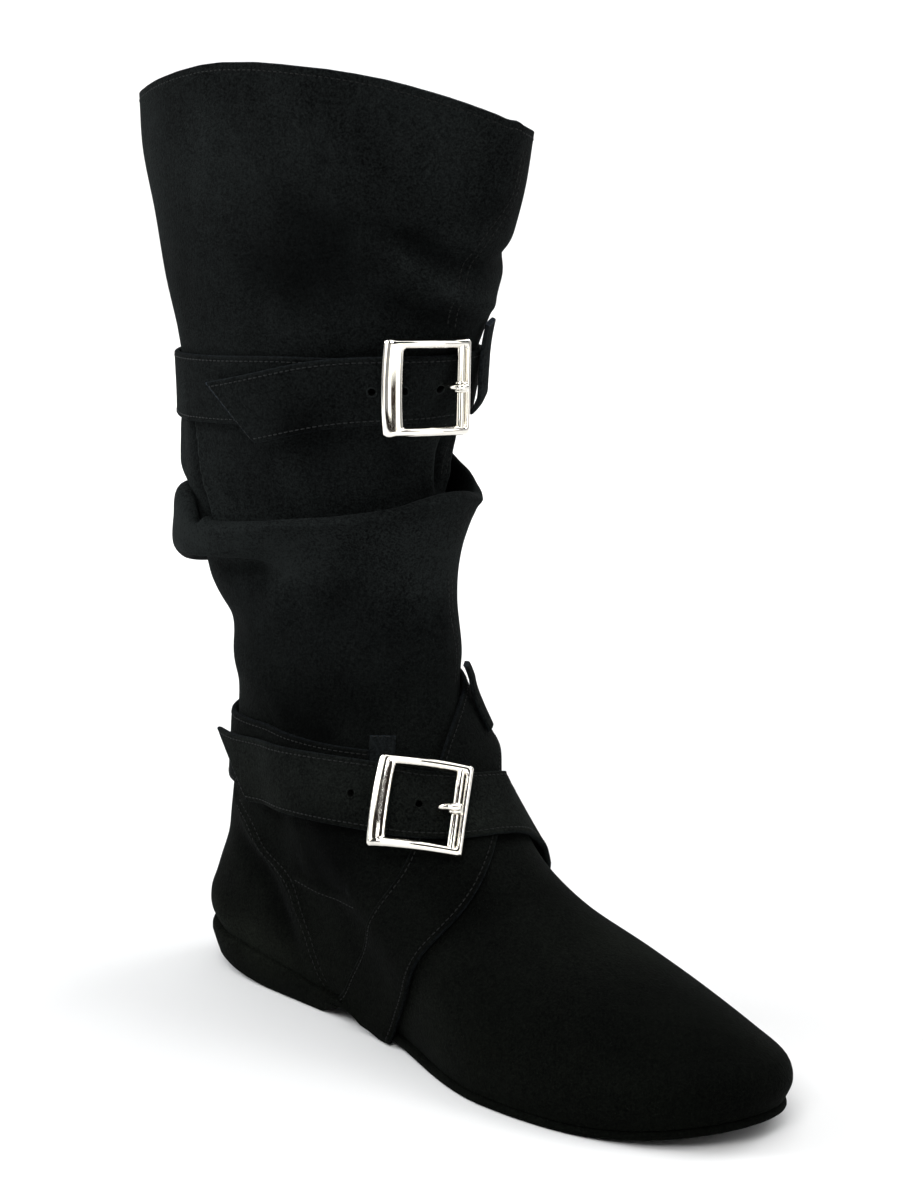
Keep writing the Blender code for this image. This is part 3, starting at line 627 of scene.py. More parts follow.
# edges where one layer ends over another: route, which way the lower layer lies, reach, depth
panelEdge = ((30, -30, 48), (42, -31, 47.7), (54, -31, 48), (70, -32, 49.5))
ledgeRows = (
    (((-11, -40, 214), (-10, -40, 204), (-9, -40, 192), (-6, -38, 179), (-3, -38, 168)), (-1, 0, 0), 6.5, 4.6),
    (((-12, 38, 212), (-10, 38, 198), (-8, 38, 184)), (-1, 0, 0), 6.0, 3.0),
    (panelEdge, (0, 0, 1), 9.0, 1.1),
    (mirrored(panelEdge), (0, 0, 1), 9.0, 1.1),
)


def nearRoute(points, route):
    # way from the route to each point, and the share of the route's length there
    best = np.full(len(points), 1e9)
    share = np.zeros(len(points))
    offset = np.zeros((len(points), 3))
    for i, (a, b) in enumerate(zip(route, route[1:])):
        run = b - a
        t = np.clip(((points - a) @ run) / (run @ run), 0, 1)
        way = points - a - t[:, None] * run
        far = np.linalg.norm(way, axis=1)
        nearer = far < best
        best = np.where(nearer, far, best)
        share = np.where(nearer, (i + t) / (len(route) - 1), share)
        offset = np.where(nearer[:, None], way, offset)
    return offset, share


creasePlan = {
    "step": 4.0, "reach": 3.0, "ends": 0.3, "least": 0.15,  # share of the length that fades, and how far down
    "ledgeEnds": 0.12, "ledgeEase": 1.5, "lip": 0.15, "lipBack": 1.2, "lipWide": 1.6,
}


def closeTo(flat, route, width, ends):
    # points near a route: their way from it, how near they are, and how full it is there
    line = spline(route, creasePlan["step"])
    middle = line.mean(axis=0)
    reach = np.linalg.norm(line - middle, axis=1).max() + creasePlan["reach"] * width
    close = np.flatnonzero(np.linalg.norm(flat - middle, axis=1) < reach)
    offset, share = nearRoute(flat[close], line)
    fall = bell(np.linalg.norm(offset, axis=1) / width)
    return close, offset, fall, smooth(np.minimum(share, 1 - share) / ends)


def creased(grid, normals):
    plan = creasePlan
    flat = grid.reshape(-1, 3)
    shift = np.zeros(len(flat))
    for route, width, rise in creaseRows:
        close, _, fall, taper = closeTo(flat, route, width, plan["ends"])
        shift[close] += rise * fall * (plan["least"] + (1 - plan["least"]) * taper)
    for route, way, width, depth in ledgeRows:
        close, offset, fall, taper = closeTo(flat, route, width, plan["ledgeEnds"])
        past = offset @ np.array(way)
        lip = plan["lip"] * bell((past + plan["lipBack"]) / plan["lipWide"])
        shift[close] += depth * (lip - smooth(past / plan["ledgeEase"])) * fall * taper
    shift = shift.reshape(grid.shape[:2])
    return grid + normals * shift[..., None], shift


def withCounter(grid, normals):
    # the stiff heel panel stands a little proud behind its curved front edge
    plan = upperPlan
    rise = grid[..., 2] - plan["counterBase"]
    edge = plan["counterFront"] - plan["counterLean"] * rise - plan["counterCurve"] * rise**2
    step = plan["counterStep"] * smooth((edge - grid[..., 0]) / plan["counterEase"] + 0.5)
    return grid + normals * (step * (rise < plan["counterTop"]))[..., None]


def makeUpper():
    plan = upperPlan
    columns = plan["columns"]
    foot = footSections(columns)
    shaft = shaftSections(columns)
    outside = throughRows(foot + shaft, plan["rows"])
    normals = gridNormals(outside)
    outside, shift = creased(outside, normals)
    outside = withCounter(outside, normals)
    first, last = plan["foldRows"]
    inside = throughRows(foot + shaft[:first] + shaft[last:], plan["liningRows"])
    low, high, extra = plan["liningIn"]
    height = inside[..., 2:]
    deeper = extra * smooth((height - low) / plan["liningEase"]) * smooth((high - height) / plan["liningEase"])
    inside = inside - gridNormals(inside) * (plan["wall"] + deeper)
    # one row between outside and inside rounds the collar's cut edge
    rim = (outside[-1] + inside[-1]) / 2 + np.array([0, 0, plan["edgeRise"]])
    points = np.concatenate([outside, rim[None], inside[::-1]])
    rows = len(points)
    faces = gridFaces(rows, columns, True)
    faceMaterials = np.zeros(len(faces))
    faceMaterials[(plan["rows"] + 1) * columns:] = 1
    # the collar's cut edge is paler: wear with a painted highlight
    wearAndHighlight = np.zeros((rows, columns))
    wearAndHighlight[plan["rows"]] = plan["edgeWearAndHighlight"]
    # painted light and shade, then darker in the crease troughs and lighter on the ridges
    shade = paintedShadingAt(points.reshape(-1, 3)).reshape(rows, columns)
    shade[: plan["rows"]] *= np.clip(1 + plan["creaseShading"] * shift, *plan["creaseClip"])
    piece = addPiece(
        "suede_upper", points.reshape(-1, 3), faces, [suede, lining], "suede",
        ["upper"], {"wearAndHighlight": wearAndHighlight.ravel(), "shade": shade.ravel()}, faceMaterials, sharp=70,
    )
    return piece, outside


upperPiece, skinGrid = makeUpper()
skinShape = (skinGrid.reshape(-1, 3), gridFaces(*skinGrid.shape[:2]))
print("upper made:", len(upperPiece.data.polygons), "faces")


def treeOf(*shapes):
    points, faces = joined(*shapes)
    return BVHTree.FromPolygons(points.tolist(), faces)


def nearest(tree, line):
    # closest places on a surface, and the ways out of it there
    hits = [tree.find_nearest(Vector(point)) for point in line]
    return np.array([hit[0] for hit in hits]), np.array([hit[1] for hit in hits])


def stripCap(start, count):
    # quads between the outer and the inner half of a ring
    i = np.arange(0, count // 2)
    return np.stack([start + i, start + i + 1, start + (count - i - 1) % count, start + (count - i) % count], axis=1)


def plate(rings):
    # rings stacked into a solid, both ends filled in strips
    count = len(rings[0])
    faces = [gridFaces(len(rings), count), stripCap(0, count), stripCap(count * (len(rings) - 1), count)]
    return np.concatenate(rings), [list(dict.fromkeys(face)) for face in np.concatenate(faces).tolist()]


soleEdge = {
    "ring": 320, "light": 0.8, "under": 0.1,  # faces this near the underside are bare leather
    # how far in from the edge, share of the thickness
    "section": (
        (2.4, 0.0), (0.9, 0.02), (0.25, 0.14), (0.0, 0.34), (0.05, 0.62), (0.3, 0.86), (0.9, 0.98), (2.2, 1.0),
    ),
    "squareFar": 2.0, "squareShare": 0.3,  # over the heel the lower edge inside these is not rounded
}
soleRing = footRing(solePlan["back"], solePlan["toe"], *solePlan["outline"], 0, soleEdge["ring"])


def insetRing(ring, far):  # far is one distance, or one for each point
    around = np.roll(ring, -1, axis=0) - np.roll(ring, 1, axis=0)
    inward = unit(np.stack([-around[:, 1], around[:, 0]], axis=1))
    return ring + inward * far


heelPlan = {
    "breast": 54.0, "slant": 10.0, "taper": 0.94, "steps": 25, "gap": 0.05, "seatEase": 6.0, "light": 0.9,
    "roll": 6.0, "rollFrom": 14.0, "rollSpan": 50.0,  # the worn back edge rises off the floor
    # share of the height, how far the edge stands in
    "edge": ((0, 1.4), (0.04, 0.6), (0.12, 0.1), (0.35, 0), (0.7, 0), (0.94, 0), (1, 0.1)),
}


def makeSole():
    plan = soleEdge
    ease = heelPlan["seatEase"]
    seat = 1 - smooth((soleRing[:, 0] - heelPlan["breast"] + ease) / ease)
    rings = []
    for far, share in plan["section"]:
        square = share < plan["squareShare"] and far < plan["squareFar"]
        outline = insetRing(soleRing, (far * (1 - seat * square))[:, None])
        rings.append(np.column_stack([outline, soleUnder(outline[:, 0]) + solePlan["thick"] * share]))
    points, faces = plate(rings)
    centres = [points[face].mean(axis=0) for face in faces]
    faceMaterials = [int(z <= soleUnder(x) + plan["under"]) for x, _, z in centres]
    masks = {"shade": paintedShadingAt(points, plan["light"])}
    addPiece("sole_edge", points, faces, [suede, soleLeather], "sole_leather", ["outsole"], masks, faceMaterials)
    return points, [face for face in faces if len(face) == 4]


def heelRing(ring, breast):
    half = len(ring) // 2
    outer = ring[: half + 1]
    inner = np.concatenate([ring[:1], ring[: half - 1: -1]])
    x = solePlan["back"] + (breast - solePlan["back"]) * (1 - np.cos(np.linspace(0, math.pi / 2, heelPlan["steps"])))
    outerEdge = np.column_stack([x, np.interp(x, outer[:, 0], outer[:, 1])])
    innerEdge = np.column_stack([x, np.interp(x, inner[:, 0], inner[:, 1])])
    return np.concatenate([outerEdge, innerEdge[::-1][:-1]])


def makeHeel():
    plan = heelPlan
    centre = np.array([plan["breast"] / 4, 0])
    rings = []
    for share, far in plan["edge"]:
        ring = heelRing(soleRing, plan["breast"] - plan["slant"] * (1 - share))
        outline = centre + (ring - centre) * (plan["taper"] + (1 - plan["taper"]) * share)
        outline = outline - unit(outline - centre) * far
        roll = plan["roll"] * smooth((plan["rollFrom"] - outline[:, 0]) / plan["rollSpan"]) * (1 - share)
        rings.append(np.column_stack([outline, (soleUnder(outline[:, 0]) - plan["gap"]) * share + roll]))
    points, faces = plate(rings)
    masks = {"shade": paintedShadingAt(points, plan["light"])}
    addPiece("heel_block", points, faces, [suede], "sole_leather", ["heel"], masks, sharp=35)


# how far inside the upper, thickness, then how far in from the edge and share of the thickness
insolePlan = {"inset": 2.8, "thick": 2.0, "section": ((0, 0), (0, 0.7), (0.25, 0.93), (0.8, 1))}


def makeInsole():
    _, back, toe, heel, waist, ball, nose = upperPlan["foot"][0]
    far = insolePlan["inset"]
    ring = footRing(back + far, toe - far, heel - far, waist - far, ball - far, nose, 0, soleEdge["ring"])
    rings = []
    for inward, share in insolePlan["section"]:
        outline = insetRing(ring, inward)
        z = soleTop(outline[:, 0]) + solePlan["gap"] + insolePlan["thick"] * share
        rings.append(np.column_stack([outline, z]))
    points, faces = plate(rings)
    addPiece("insole_board", points, faces, [lining], "lining", ["insole"])


soleShape = makeSole()
makeHeel()
makeInsole()
print("sole, heel and insole made")


bandPlan = {
    "step": 1.6, "evenCentre": 24, "evenNormal": 47, "reach": 30.0, "clear": 0.25, "probes": 15, "settle": 90,
    # strap cut edges are paler: a painted highlight where they catch the light
    "floor": 0.6, "ramp": 35.0, "most": 0.96, "crown": 1.03, "edgeShare": 0.985, "edgeWearAndHighlight": 0.09,
    # inset from the edge, share of the thickness: over the top, then along the underside
    "top": ((0.0, 0.5), (0.12, 0.8), (0.45, 0.96), (1.0, 1.0), (1.7, 0.9), (2.4, 1.0), (5.0, 1.02)),
    "under": ((0.25, 0.12), (1.0, 0.0), (4.0, 0.0)),
}


def heightOver(ground, point, normal):
    reach = bandPlan["reach"]
    hit = ground.ray_cast(Vector(point + normal * reach), Vector(-normal), 2 * reach)
    return -reach if hit[3] is None else reach - hit[3]


def endShear(travel, skew):
    # how far a band's two edges lead or lag its middle, towards each askew end
    start = np.clip(1 - travel / bandPlan["ramp"], 0, 1)
    end = np.clip(1 - (travel[-1] - travel) / bandPlan["ramp"], 0, 1)
    return (skew[0] * start + skew[1] * end) / 2


def overBand(band, across, share=1.0):
    # the line along the band at a share of its half width and of its thickness
    seat = np.array([np.interp(across, band["probes"], row) for row in band["level"]])
    return band["place"](across) + band["out"] * (seat + band["thick"] * share)[:, None]


def layBand(skin, ground, route, wide, thick, skew=(0, 0), lift=None):
    # a leather band drawn over what lies under it: it bridges hollows and bends over what stands up
    plan = bandPlan
    line = spline(route, plan["step"])
    centre, out = nearest(skin, line)
    centre = evened(centre, plan["evenCentre"])
    out = unit(evened(out, plan["evenNormal"]))
    along = unit(np.gradient(centre, axis=0))
    side = unit(np.cross(along, out))
    out = np.cross(side, along)
    shear = endShear(np.arange(len(line)) * plan["step"], skew)
    half = wide / 2

    def place(across):
        return centre + side * across * half + along * (shear * across)[:, None]

    probes = np.linspace(-1, 1, plan["probes"])
    rest = np.array([[heightOver(ground, p, n) for p, n in zip(place(a), out)] for a in probes]).T + plan["clear"]
    level = rest.copy()
    for _ in range(plan["settle"]):
        level = evened(evened(level, 1).T, 2).T
        level = np.maximum(level, rest)
    if lift is not None:
        level = level + np.interp(np.linspace(0, 1, len(line)), *lift)[:, None]
    top, under = (
        [(inset / half - 1, share) for inset, share in plan[key] if inset < half * plan["most"]]
        for key in ("top", "under")
    )
    loop = top + [(0, plan["crown"])] + [(-a, s) for a, s in top[::-1] + under] + under[::-1]
    band = {
        "loop": loop, "along": along, "side": side, "out": out, "half": half, "thick": thick,
        "level": level, "probes": probes, "place": place,
    }
    rings = np.stack([overBand(band, across, share) for across, share in loop], axis=1)
    rings[..., 2] = np.maximum(rings[..., 2], plan["floor"])
    band["rows"] = len(rings)
    band["points"], band["faces"] = capped(rings)
    return band


def shapeOf(band):
    return band["points"], [face for face in band["faces"] if len(face) == 4]


def bandWearAndHighlight(band, ends):
    # pale cut edges, stronger at the loose ends of a band: a painted highlight along the edges, wear at the ends
    wearAndHighlight = np.zeros((band["rows"], len(band["loop"])))
    edge = np.abs(np.array([a for a, _ in band["loop"]])) > bandPlan["edgeShare"]
    wearAndHighlight[:, edge] = bandPlan["edgeWearAndHighlight"]
    for end, amount in ends:
        wearAndHighlight[end] = amount
    return wearAndHighlight.ravel()


# strap holes: the punch, and which faces are the wall of its hole
punchPlan = {"radius": 1.3, "sides": 20, "deep": 9.0, "near": 5.0, "wall": 1.02}


def punch(piece, band, spots, light):
    plan, radius = punchPlan, punchPlan["radius"]
    middle = overBand(band, 0.0)
    work = bmesh.new()
    axes = []
    for spot in spots:
        k = np.linalg.norm(middle - np.array(spot), axis=1).argmin()
        axes.append((middle[k], band["along"][k], -band["side"][k], band["out"][k]))
        turn = Matrix(axes[-1][1:]).transposed().to_4x4()
        bmesh.ops.create_cone(
            work, cap_ends=True, segments=plan["sides"], radius1=radius * mm, radius2=radius * mm,
            depth=plan["deep"] * mm, matrix=Matrix.Translation(Vector(middle[k] * mm)) @ turn,
        )
    mesh = bpy.data.meshes.new("punch")
    work.to_mesh(mesh)
    work.free()
    cutter = newObject("punch", mesh)
    cut = piece.modifiers.new("holes", "BOOLEAN")
    cut.operation = "DIFFERENCE"
    cut.solver = "EXACT"
    cut.object = cutter
    evaluated = piece.evaluated_get(bpy.context.evaluated_depsgraph_get())
    piece.data = bpy.data.meshes.new_from_object(evaluated)
    piece.data.set_sharp_from_angle(angle=math.radians(sharpFrom))
    piece.modifiers.clear()
    bpy.data.objects.remove(cutter)
    # the cut's new corners take the band's own tone; its walls get the dark sole leather, painted shade in the holes
    corners = np.empty(len(piece.data.vertices) * 3)
    piece.data.vertices.foreach_get("co", corners)
    shade = paintedShadingAt(corners.reshape(-1, 3) / mm, light).astype(np.float32)
    piece.data.attributes["shade"].data.foreach_set("value", shade)
    piece.data.materials.append(soleLeather)
    for face in piece.data.polygons:
        for centre, _, _, out in axes:
            way = np.array(face.center) / mm - centre
            beside = np.linalg.norm(way - out * (way @ out))
            if np.linalg.norm(way) < plan["near"] and beside < radius * plan["wall"]:
                face.material_index = len(piece.data.materials) - 1
    return axes


rimPlan = {"far": 1.55, "radius": 0.32, "lift": 0.08, "flat": 0.6, "sides": (28, 8), "light": 2.2}


def makeRims(axes):
    # pressed rims round the strap holes
    plan = rimPlan
    turns, bends = map(turnsOf, plan["sides"])
    rims = []
    for centre, along, side, out in axes:
        points = []
        for turn in turns:
            outward = along * math.cos(turn) + side * math.sin(turn)
            middle = centre + outward * plan["far"] + out * plan["lift"]
            ways = [outward * math.cos(bend) + out * plan["flat"] * math.sin(bend) for bend in bends]
            points += [middle + plan["radius"] * way for way in ways]
        rims.append((np.array(points), gridFaces(len(turns), len(bends), True)))
    points, faces = joined(*rims)
    addPiece("hole_rims", points, faces, [suede], "suede", masks={"shade": paintedShadingAt(points, plan["light"])}, sharp=80)


def makeBand(name, band, node, ends=(), light=1.0, allOver=0.0):
    masks = {"wearAndHighlight": bandWearAndHighlight(band, ends) + allOver, "shade": paintedShadingAt(band["points"], light)}
    return addPiece(name, band["points"], band["faces"], [suede], "suede", [node], masks, sharp=60)


strapPlan = {
    "wide": 23.5, "crossWide": 26.4, "thick": 2.2, "loopWide": 9.0, "loopThick": 1.6, "castFrom": 150.0,
    "crossLight": 0.80, "ankleLight": 1.6, "upperLight": 0.93, "tabLight": 1.2, "tabWear": 0.07, "loopWear": 0.05,
    # outer sole edge, over the instep, round the ankle and back to the outer side
    "cross": (
        (66.5, -36, -3), (81.5, -37.5, 21), (96, -34, 43.5), (101.5, -22, 63.5), (93.5, -5, 83.5), (82, 9, 98),
        (69, 24, 106), (45, 34, 106), (15, 31, 102), (-15, 18, 95), (-24, 0, 88.5),
        (-14, -20, 86.4), (5, -30, 87.4), (24, -33, 88), (40, -33.5, 87.8), (54, -33, 87.6), (64, -29.5, 87.4),
        (72, -25.5, 87.2),
    ),
    "crossSkew": (9, 0),
    # inner sole edge, over the instep, through the buckle to the loose tail
    "ankle": (
        (72, 32, 4), (74, 35, 24), (77, 35, 44), (82, 31, 62), (90, 22, 75), (96, 9, 80.5), (95, -6, 82),
        (88, -18, 83),
        (72, -28, 85.5), (50, -34, 86), (25, -34, 84.5), (5, -31, 82.5), (-4, -27.5, 82),
    ),
    "ankleSkew": (-10, 23), "ankleLift": ((0, 0.18, 0.24, 0.29, 0.35, 1), (0, 0, 2.3, 2.0, 0, 0)),
    "ankleHoles": ((87, -19, 84), (66.8, -29.5, 87)),
    # angle round the shaft from the front over the outer side, height
    "upper": (
        (28, 222), (60, 221), (95, 219), (131, 217), (180, 216), (230, 217), (280, 220),
        (320, 222), (350, 223.8), (370, 224.2), (386, 223.6), (405, 220.8), (430, 215.5), (450, 212),
    ),
    "upperSkew": (0, 15), "upperLift": ((0, 0.78, 0.83, 1), (0, 0, 3.4, 3.4)),
    "upperHoles": ((75.6, -5.3, 224), (70, -15.4, 224), (64, -22.3, 224)),
    "upperLoop": ((83, 14, 248), (81, 14, 242), (77, 14, 228), (73, 14, 216), (70, 14, 211)),
    "upperLoopLift": ((0, 0.4, 0.75, 1), (0, 0.8, 2.4, 0.4)),
    "frontLoop": ((71.5, 18, 128), (72.5, 19, 123), (74, 20, 115), (75.5, 21.5, 106), (76.5, 22.5, 98)),
    "frontLoopLift": ((0, 0.25, 0.6, 1), (0, 1.4, 0.6, 0)),
    "tab": ((68, -20, 108), (69, -21, 104), (71, -23, 98), (73, -25, 92)),
}


def onShaft(ground, turn, height):
    angle = math.radians(turn)
    outward = np.array([math.cos(angle), -math.sin(angle), 0])
    axis = np.array([upperPlan["axis"], 0, height])
    return np.array(ground.ray_cast(Vector(axis + outward * strapPlan["castFrom"]), Vector(-outward))[0])


def strap(surface, ground, key, route=None):
    # a full band by its name in the plan, with its skew and lift where it has them
    plan = strapPlan
    wide = plan.get(key + "Wide", plan["wide"])
    skew, lift = plan[key + "Skew"], plan.get(key + "Lift")
    return layBand(surface, ground, route or plan[key], wide, plan["thick"], skew, lift)


def narrow(ground, key):
    # a keeper loop or a tab
    plan = strapPlan
    return layBand(skin, ground, plan[key], plan["loopWide"], plan["loopThick"], lift=plan.get(key + "Lift"))


skin = treeOf(skinShape)
footTree = treeOf(skinShape, soleShape)
crossBand = strap(footTree, footTree, "cross")
tabBand = narrow(skin, "tab")
underAnkle = treeOf(skinShape, soleShape, shapeOf(crossBand), shapeOf(tabBand))
ankleBand = strap(footTree, underAnkle, "ankle")
ankleTree = treeOf(skinShape, shapeOf(crossBand), shapeOf(tabBand), shapeOf(ankleBand))
frontLoopBand = narrow(ankleTree, "frontLoop")
upperBand = strap(skin, skin, "upper", [onShaft(skin, turn, height) for turn, height in strapPlan["upper"]])
upperTree = treeOf(skinShape, shapeOf(upperBand))
upperLoopBand = narrow(upperTree, "upperLoop")
makeBand("cross_band", crossBand, "cross_strap", light=strapPlan["crossLight"])
makeBand("tab_band", tabBand, "outer_tab", [(0, 0.35)], strapPlan["tabLight"], strapPlan["tabWear"])
anklePiece = makeBand("ankle_band", ankleBand, "ankle_strap", [(-1, 0.5)], strapPlan["ankleLight"])
makeBand("front_loop_band", frontLoopBand, "front_loop", [(0, 0.3)])
upperStrapPiece = makeBand("shaft_band", upperBand, "upper_strap", [(-1, 0.8)], strapPlan["upperLight"])
makeBand("shaft_loop_band", upperLoopBand, "upper_loop", [(0, 0.5)], allOver=strapPlan["loopWear"])
holes = punch(anklePiece, ankleBand, strapPlan["ankleHoles"], strapPlan["ankleLight"])
holes += punch(upperStrapPiece, upperBand, strapPlan["upperHoles"], strapPlan["upperLight"])
makeRims(holes)
print("straps and loops made")


bucklePlan = {
    "long": 32.0, "high": 32.2, "thick": 3.0, "bow": 2.2, "wideSide": 6.0, "thinSide": 2.6, "window": 25.4,
    "corner": 1.3, "windowCorner": 0.8, "bulge": 0.9, "arc": 6, "side": 18, "clear": 0.4,
    # share of the frame's width from its outer edge, share of its thickness
    "section": (
        (0.0, 0.0), (0.0, 0.45), (0.05, 0.66), (0.14, 0.84), (0.27, 0.96), (0.42, 1.0), (0.58, 1.0),
        (0.73, 0.95), (0.86, 0.82), (0.95, 0.62), (1.0, 0.42), (1.0, 0.0),
    ),
    "bar": 1.4, "barInset": 1.6, "barSides": 28, "barShare": 0.5,
    "eye": 0.55, "eyeGap": 0.1, "eyeWide": 3.6, "eyeTurns": 40, "eyeSquare": 0.6, "eyeTop": 0.6,
    "prong": 1.2, "prongSides": 16, "prongStep": 0.35,
    # prong's line: share of its reach and extra, share from the strap up to the eye's top and extra
    "prongLine": ((0, -1.6, 1, -0.5), (0, 0.2, 1, 0), (0.45, 0, 1, -0.2), (0.8, 0, 0.6, 0), (1, 0, 0, -0.8)),
    "prongSize": ((0, 0.5), (0.06, 1), (0.8, 0.95), (1, 0.7)),
}


def roundedLoop(u0, u1, v0, v1, radius):
    plan = bucklePlan
    loop = []
    for u, v, first in ((u1, v1, 0), (u0, v1, 90), (u0, v0, 180), (u1, v0, 270)):
        middleU = u - math.copysign(radius, u - (u0 + u1) / 2)
        middleV = v - math.copysign(radius, v - (v0 + v1) / 2)
        for angle in np.radians(first + np.linspace(0, 90, plan["arc"] + 1)):
            loop.append((middleU + radius * math.cos(angle), middleV + radius * math.sin(angle)))
    divided = []
    corner = plan["arc"] + 1
    for i, here in enumerate(loop):
        divided.append(here)
        if i % corner == corner - 1:
            after = np.array(loop[(i + 1) % len(loop)])
            divided += [tuple(np.array(here) + (after - here) * k / plan["side"]) for k in range(1, plan["side"])]
    return np.array(divided)


def buckleBow(u):
    return bucklePlan["bow"] * (1 - (2 * u / bucklePlan["long"]) ** 2)


def buckleWays(band, spot):
    # the buckle's place on the strap, and its ways along the strap, down the boot and out
    middle = overBand(band, 0.0)
    k = np.linalg.norm(middle - np.array(spot["at"]), axis=1).argmin()
    u, w = band["along"][k], band["out"][k]
    v = np.cross(w, u)
    origin = middle[k] + u * spot["shift"][0] + v * spot["shift"][1]
    yaw, pitch, spin = (math.radians(spot[key]) for key in ("yaw", "pitch", "spin"))
    u, w = turned(u, w, yaw)
    v, w = turned(v, w, pitch)
    u, v = turned(u, v, spin)
    return origin, u, v, w


def makeBuckle(name, band, spot, ground, nodes):
    plan = bucklePlan
    origin, u, v, w = buckleWays(band, spot)
    half, tall, window = plan["long"] / 2, plan["high"] / 2, plan["window"] / 2
    outer = roundedLoop(-half, half, -tall, tall, plan["corner"])
    inner = roundedLoop(-half + plan["thinSide"], half - plan["wideSide"], -window, window, plan["windowCorner"])
    for loop in (outer, inner):
        swell = plan["bulge"] * (1 - (loop[:, 1] / tall) ** 2)
        loop[:, 0] += swell * smooth(loop[:, 0] / half)

    def place(flat, height):
        return origin + flat[:, :1] * u + flat[:, 1:] * v + height[:, None] * w

    over = np.concatenate([outer, inner, (outer + inner) / 2])
    level = place(over, np.zeros(len(over)))
    seat = max(heightOver(ground, p, w) - rise for p, rise in zip(level, buckleBow(over[:, 0]))) + plan["clear"]
    rings = []
    for inward, share in plan["section"]:
        loop = outer + (inner - outer) * inward
        rings.append(place(loop, seat + buckleBow(loop[:, 0]) + share * plan["thick"]))
    rim = np.concatenate(rings), gridFaces(len(rings), len(outer), True)
    # bar across the window
    barU = -half + plan["thinSide"] + plan["barInset"]
    barW = seat + buckleBow(barU) + plan["thick"] * plan["barShare"]
    angles = turnsOf(plan["barSides"])
    reach = (plan["window"] + plan["high"]) / 4
    rings = []
    for end in (-reach, reach):
        circle = np.stack([barU + plan["bar"] * np.cos(angles), np.full(len(angles), end)], axis=1)
        rings.append(place(circle, barW + plan["bar"] * np.sin(angles)))
    addPiece(name + "_frame", *joined(rim, capped(rings)), [nickel], "nickel", nodes[:1], sharp=42)

    # prong: an eye round the bar and a short tongue that dips to the strap
    angles = turnsOf(plan["prongSides"])
    eye = plan["bar"] + plan["eyeGap"] + plan["eye"]
    flat = np.sign(np.sin(angles)) * np.abs(np.sin(angles)) ** plan["eyeSquare"] * plan["eyeWide"] / 2
    rings = []
    for turn in turnsOf(plan["eyeTurns"]):
        outward = math.cos(turn) * u + math.sin(turn) * w
        centre = origin + barU * u + barW * w + outward * eye
        rings.append(centre + plan["eye"] * np.cos(angles)[:, None] * outward + flat[:, None] * v)
    eyeShape = np.concatenate(rings), gridFaces(len(rings), len(angles), True)
    tip = barU + spot["reach"]
    rest = heightOver(ground, origin + tip * u, w)
    top = barW + eye + plan["eye"] * plan["eyeTop"]
    path = np.array([
        (barU + spot["reach"] * share + extra, top * high + rest * (1 - high) + lift)
        for share, extra, high, lift in plan["prongLine"]
    ])
    path = spline(np.column_stack([path, np.zeros(len(path))]), plan["prongStep"])[:, :2]
    heading = unit(np.gradient(path, axis=0))
    size = plan["prong"] * readAt(plan["prongSize"], np.linspace(0, 1, len(path)))
    rings = []
    for (atU, atW), (toU, toW), radius in zip(path, heading, size):
        up = (toU * w - toW * u) * radius
        rings.append(origin + atU * u + atW * w + np.cos(angles)[:, None] * v * radius + np.sin(angles)[:, None] * up)
    addPiece(name + "_tongue", *joined(eyeShape, capped(rings)), [nickel], "nickel", nodes[1:], sharp=60)
    return origin + w * (seat + plan["thick"]), u, v, w


# where on the strap, how far along it and down, turned about its three ways, prong's reach
lowerSpot = {"at": (88, -18, 83), "shift": (1.0, 1.2), "yaw": 0.0, "pitch": 0.0, "spin": 1.9, "reach": 6.2}
upperSpot = {
    "at": onShaft(skin, 368.5, 224.0), "shift": (3.4, -1.4), "yaw": 11.0, "pitch": 15.5, "spin": -3.6, "reach": 3.6,
}
lowerFrame = makeBuckle("lower_buckle", ankleBand, lowerSpot, ankleTree, ["ankle_buckle", "ankle_prong"])
upperFrame = makeBuckle("shaft_buckle", upperBand, upperSpot, upperTree, ["upper_buckle", "upper_prong"])
print("buckles made")


stitchPlan = {
    "pitch": 2.2, "long": 1.55, "radius": 0.18, "flat": 1.25, "sides": 6, "inset": 1.7, "endInset": 2.2, "endSteps": 9,
    "sink": 0.06, "above": 1.0,
    # a short thread that dips at both ends: place along it, thickness, lift
    "section": ((-0.5, 0.35, -0.25), (-0.38, 0.85, 0.05), (0.0, 1.0, 0.25), (0.38, 0.85, 0.05), (0.5, 0.35, -0.25)),
}


def stitchRow(path, out):
    # centres, directions and normals of the stitches along one line
    length = lengths(path)
    at = np.arange(stitchPlan["pitch"] / 2, length[-1], stitchPlan["pitch"])
    centre = sampled(path, length, at)
    heading = unit(np.gradient(centre, axis=0)) if len(centre) > 1 else unit(path[-1:] - path[:1])
    return centre, heading, unit(sampled(out, length, at))


def makeStitches(name, rows, material):
    plan = stitchPlan
    parts = [np.concatenate(group) for group in zip(*(stitchRow(path, out) for path, out in rows))]
    centre, heading, normal = (part[parts[0][:, 2] > bandPlan["floor"] + plan["above"]] for part in parts)
    side = unit(np.cross(normal, heading))
    normal = np.cross(heading, side)
    rings = []
    for at, size, lift in plan["section"]:
        middle = centre + heading * at * plan["long"] + normal * (lift * plan["radius"] - plan["sink"])
        rings.append(np.stack([
            middle + plan["radius"] * size * (side * math.cos(turn) * plan["flat"] + normal * math.sin(turn))
            for turn in turnsOf(plan["sides"])
        ], axis=1))
    rings = np.stack(rings, axis=1)  # stitch, ring, side, xyz
    each = len(plan["section"]) * plan["sides"]
    caps = np.array([[0, 1, 2, 3], [0, 3, 4, 5]])
    faces = np.concatenate([gridFaces(len(plan["section"]), plan["sides"]), caps, caps + each - plan["sides"]])
    every = (faces[None] + (np.arange(len(centre)) * each)[:, None, None]).reshape(-1, 4)
    addPiece(name, rings.reshape(-1, 3), every.tolist(), [material], "suede", sharp=80)
    return len(centre)


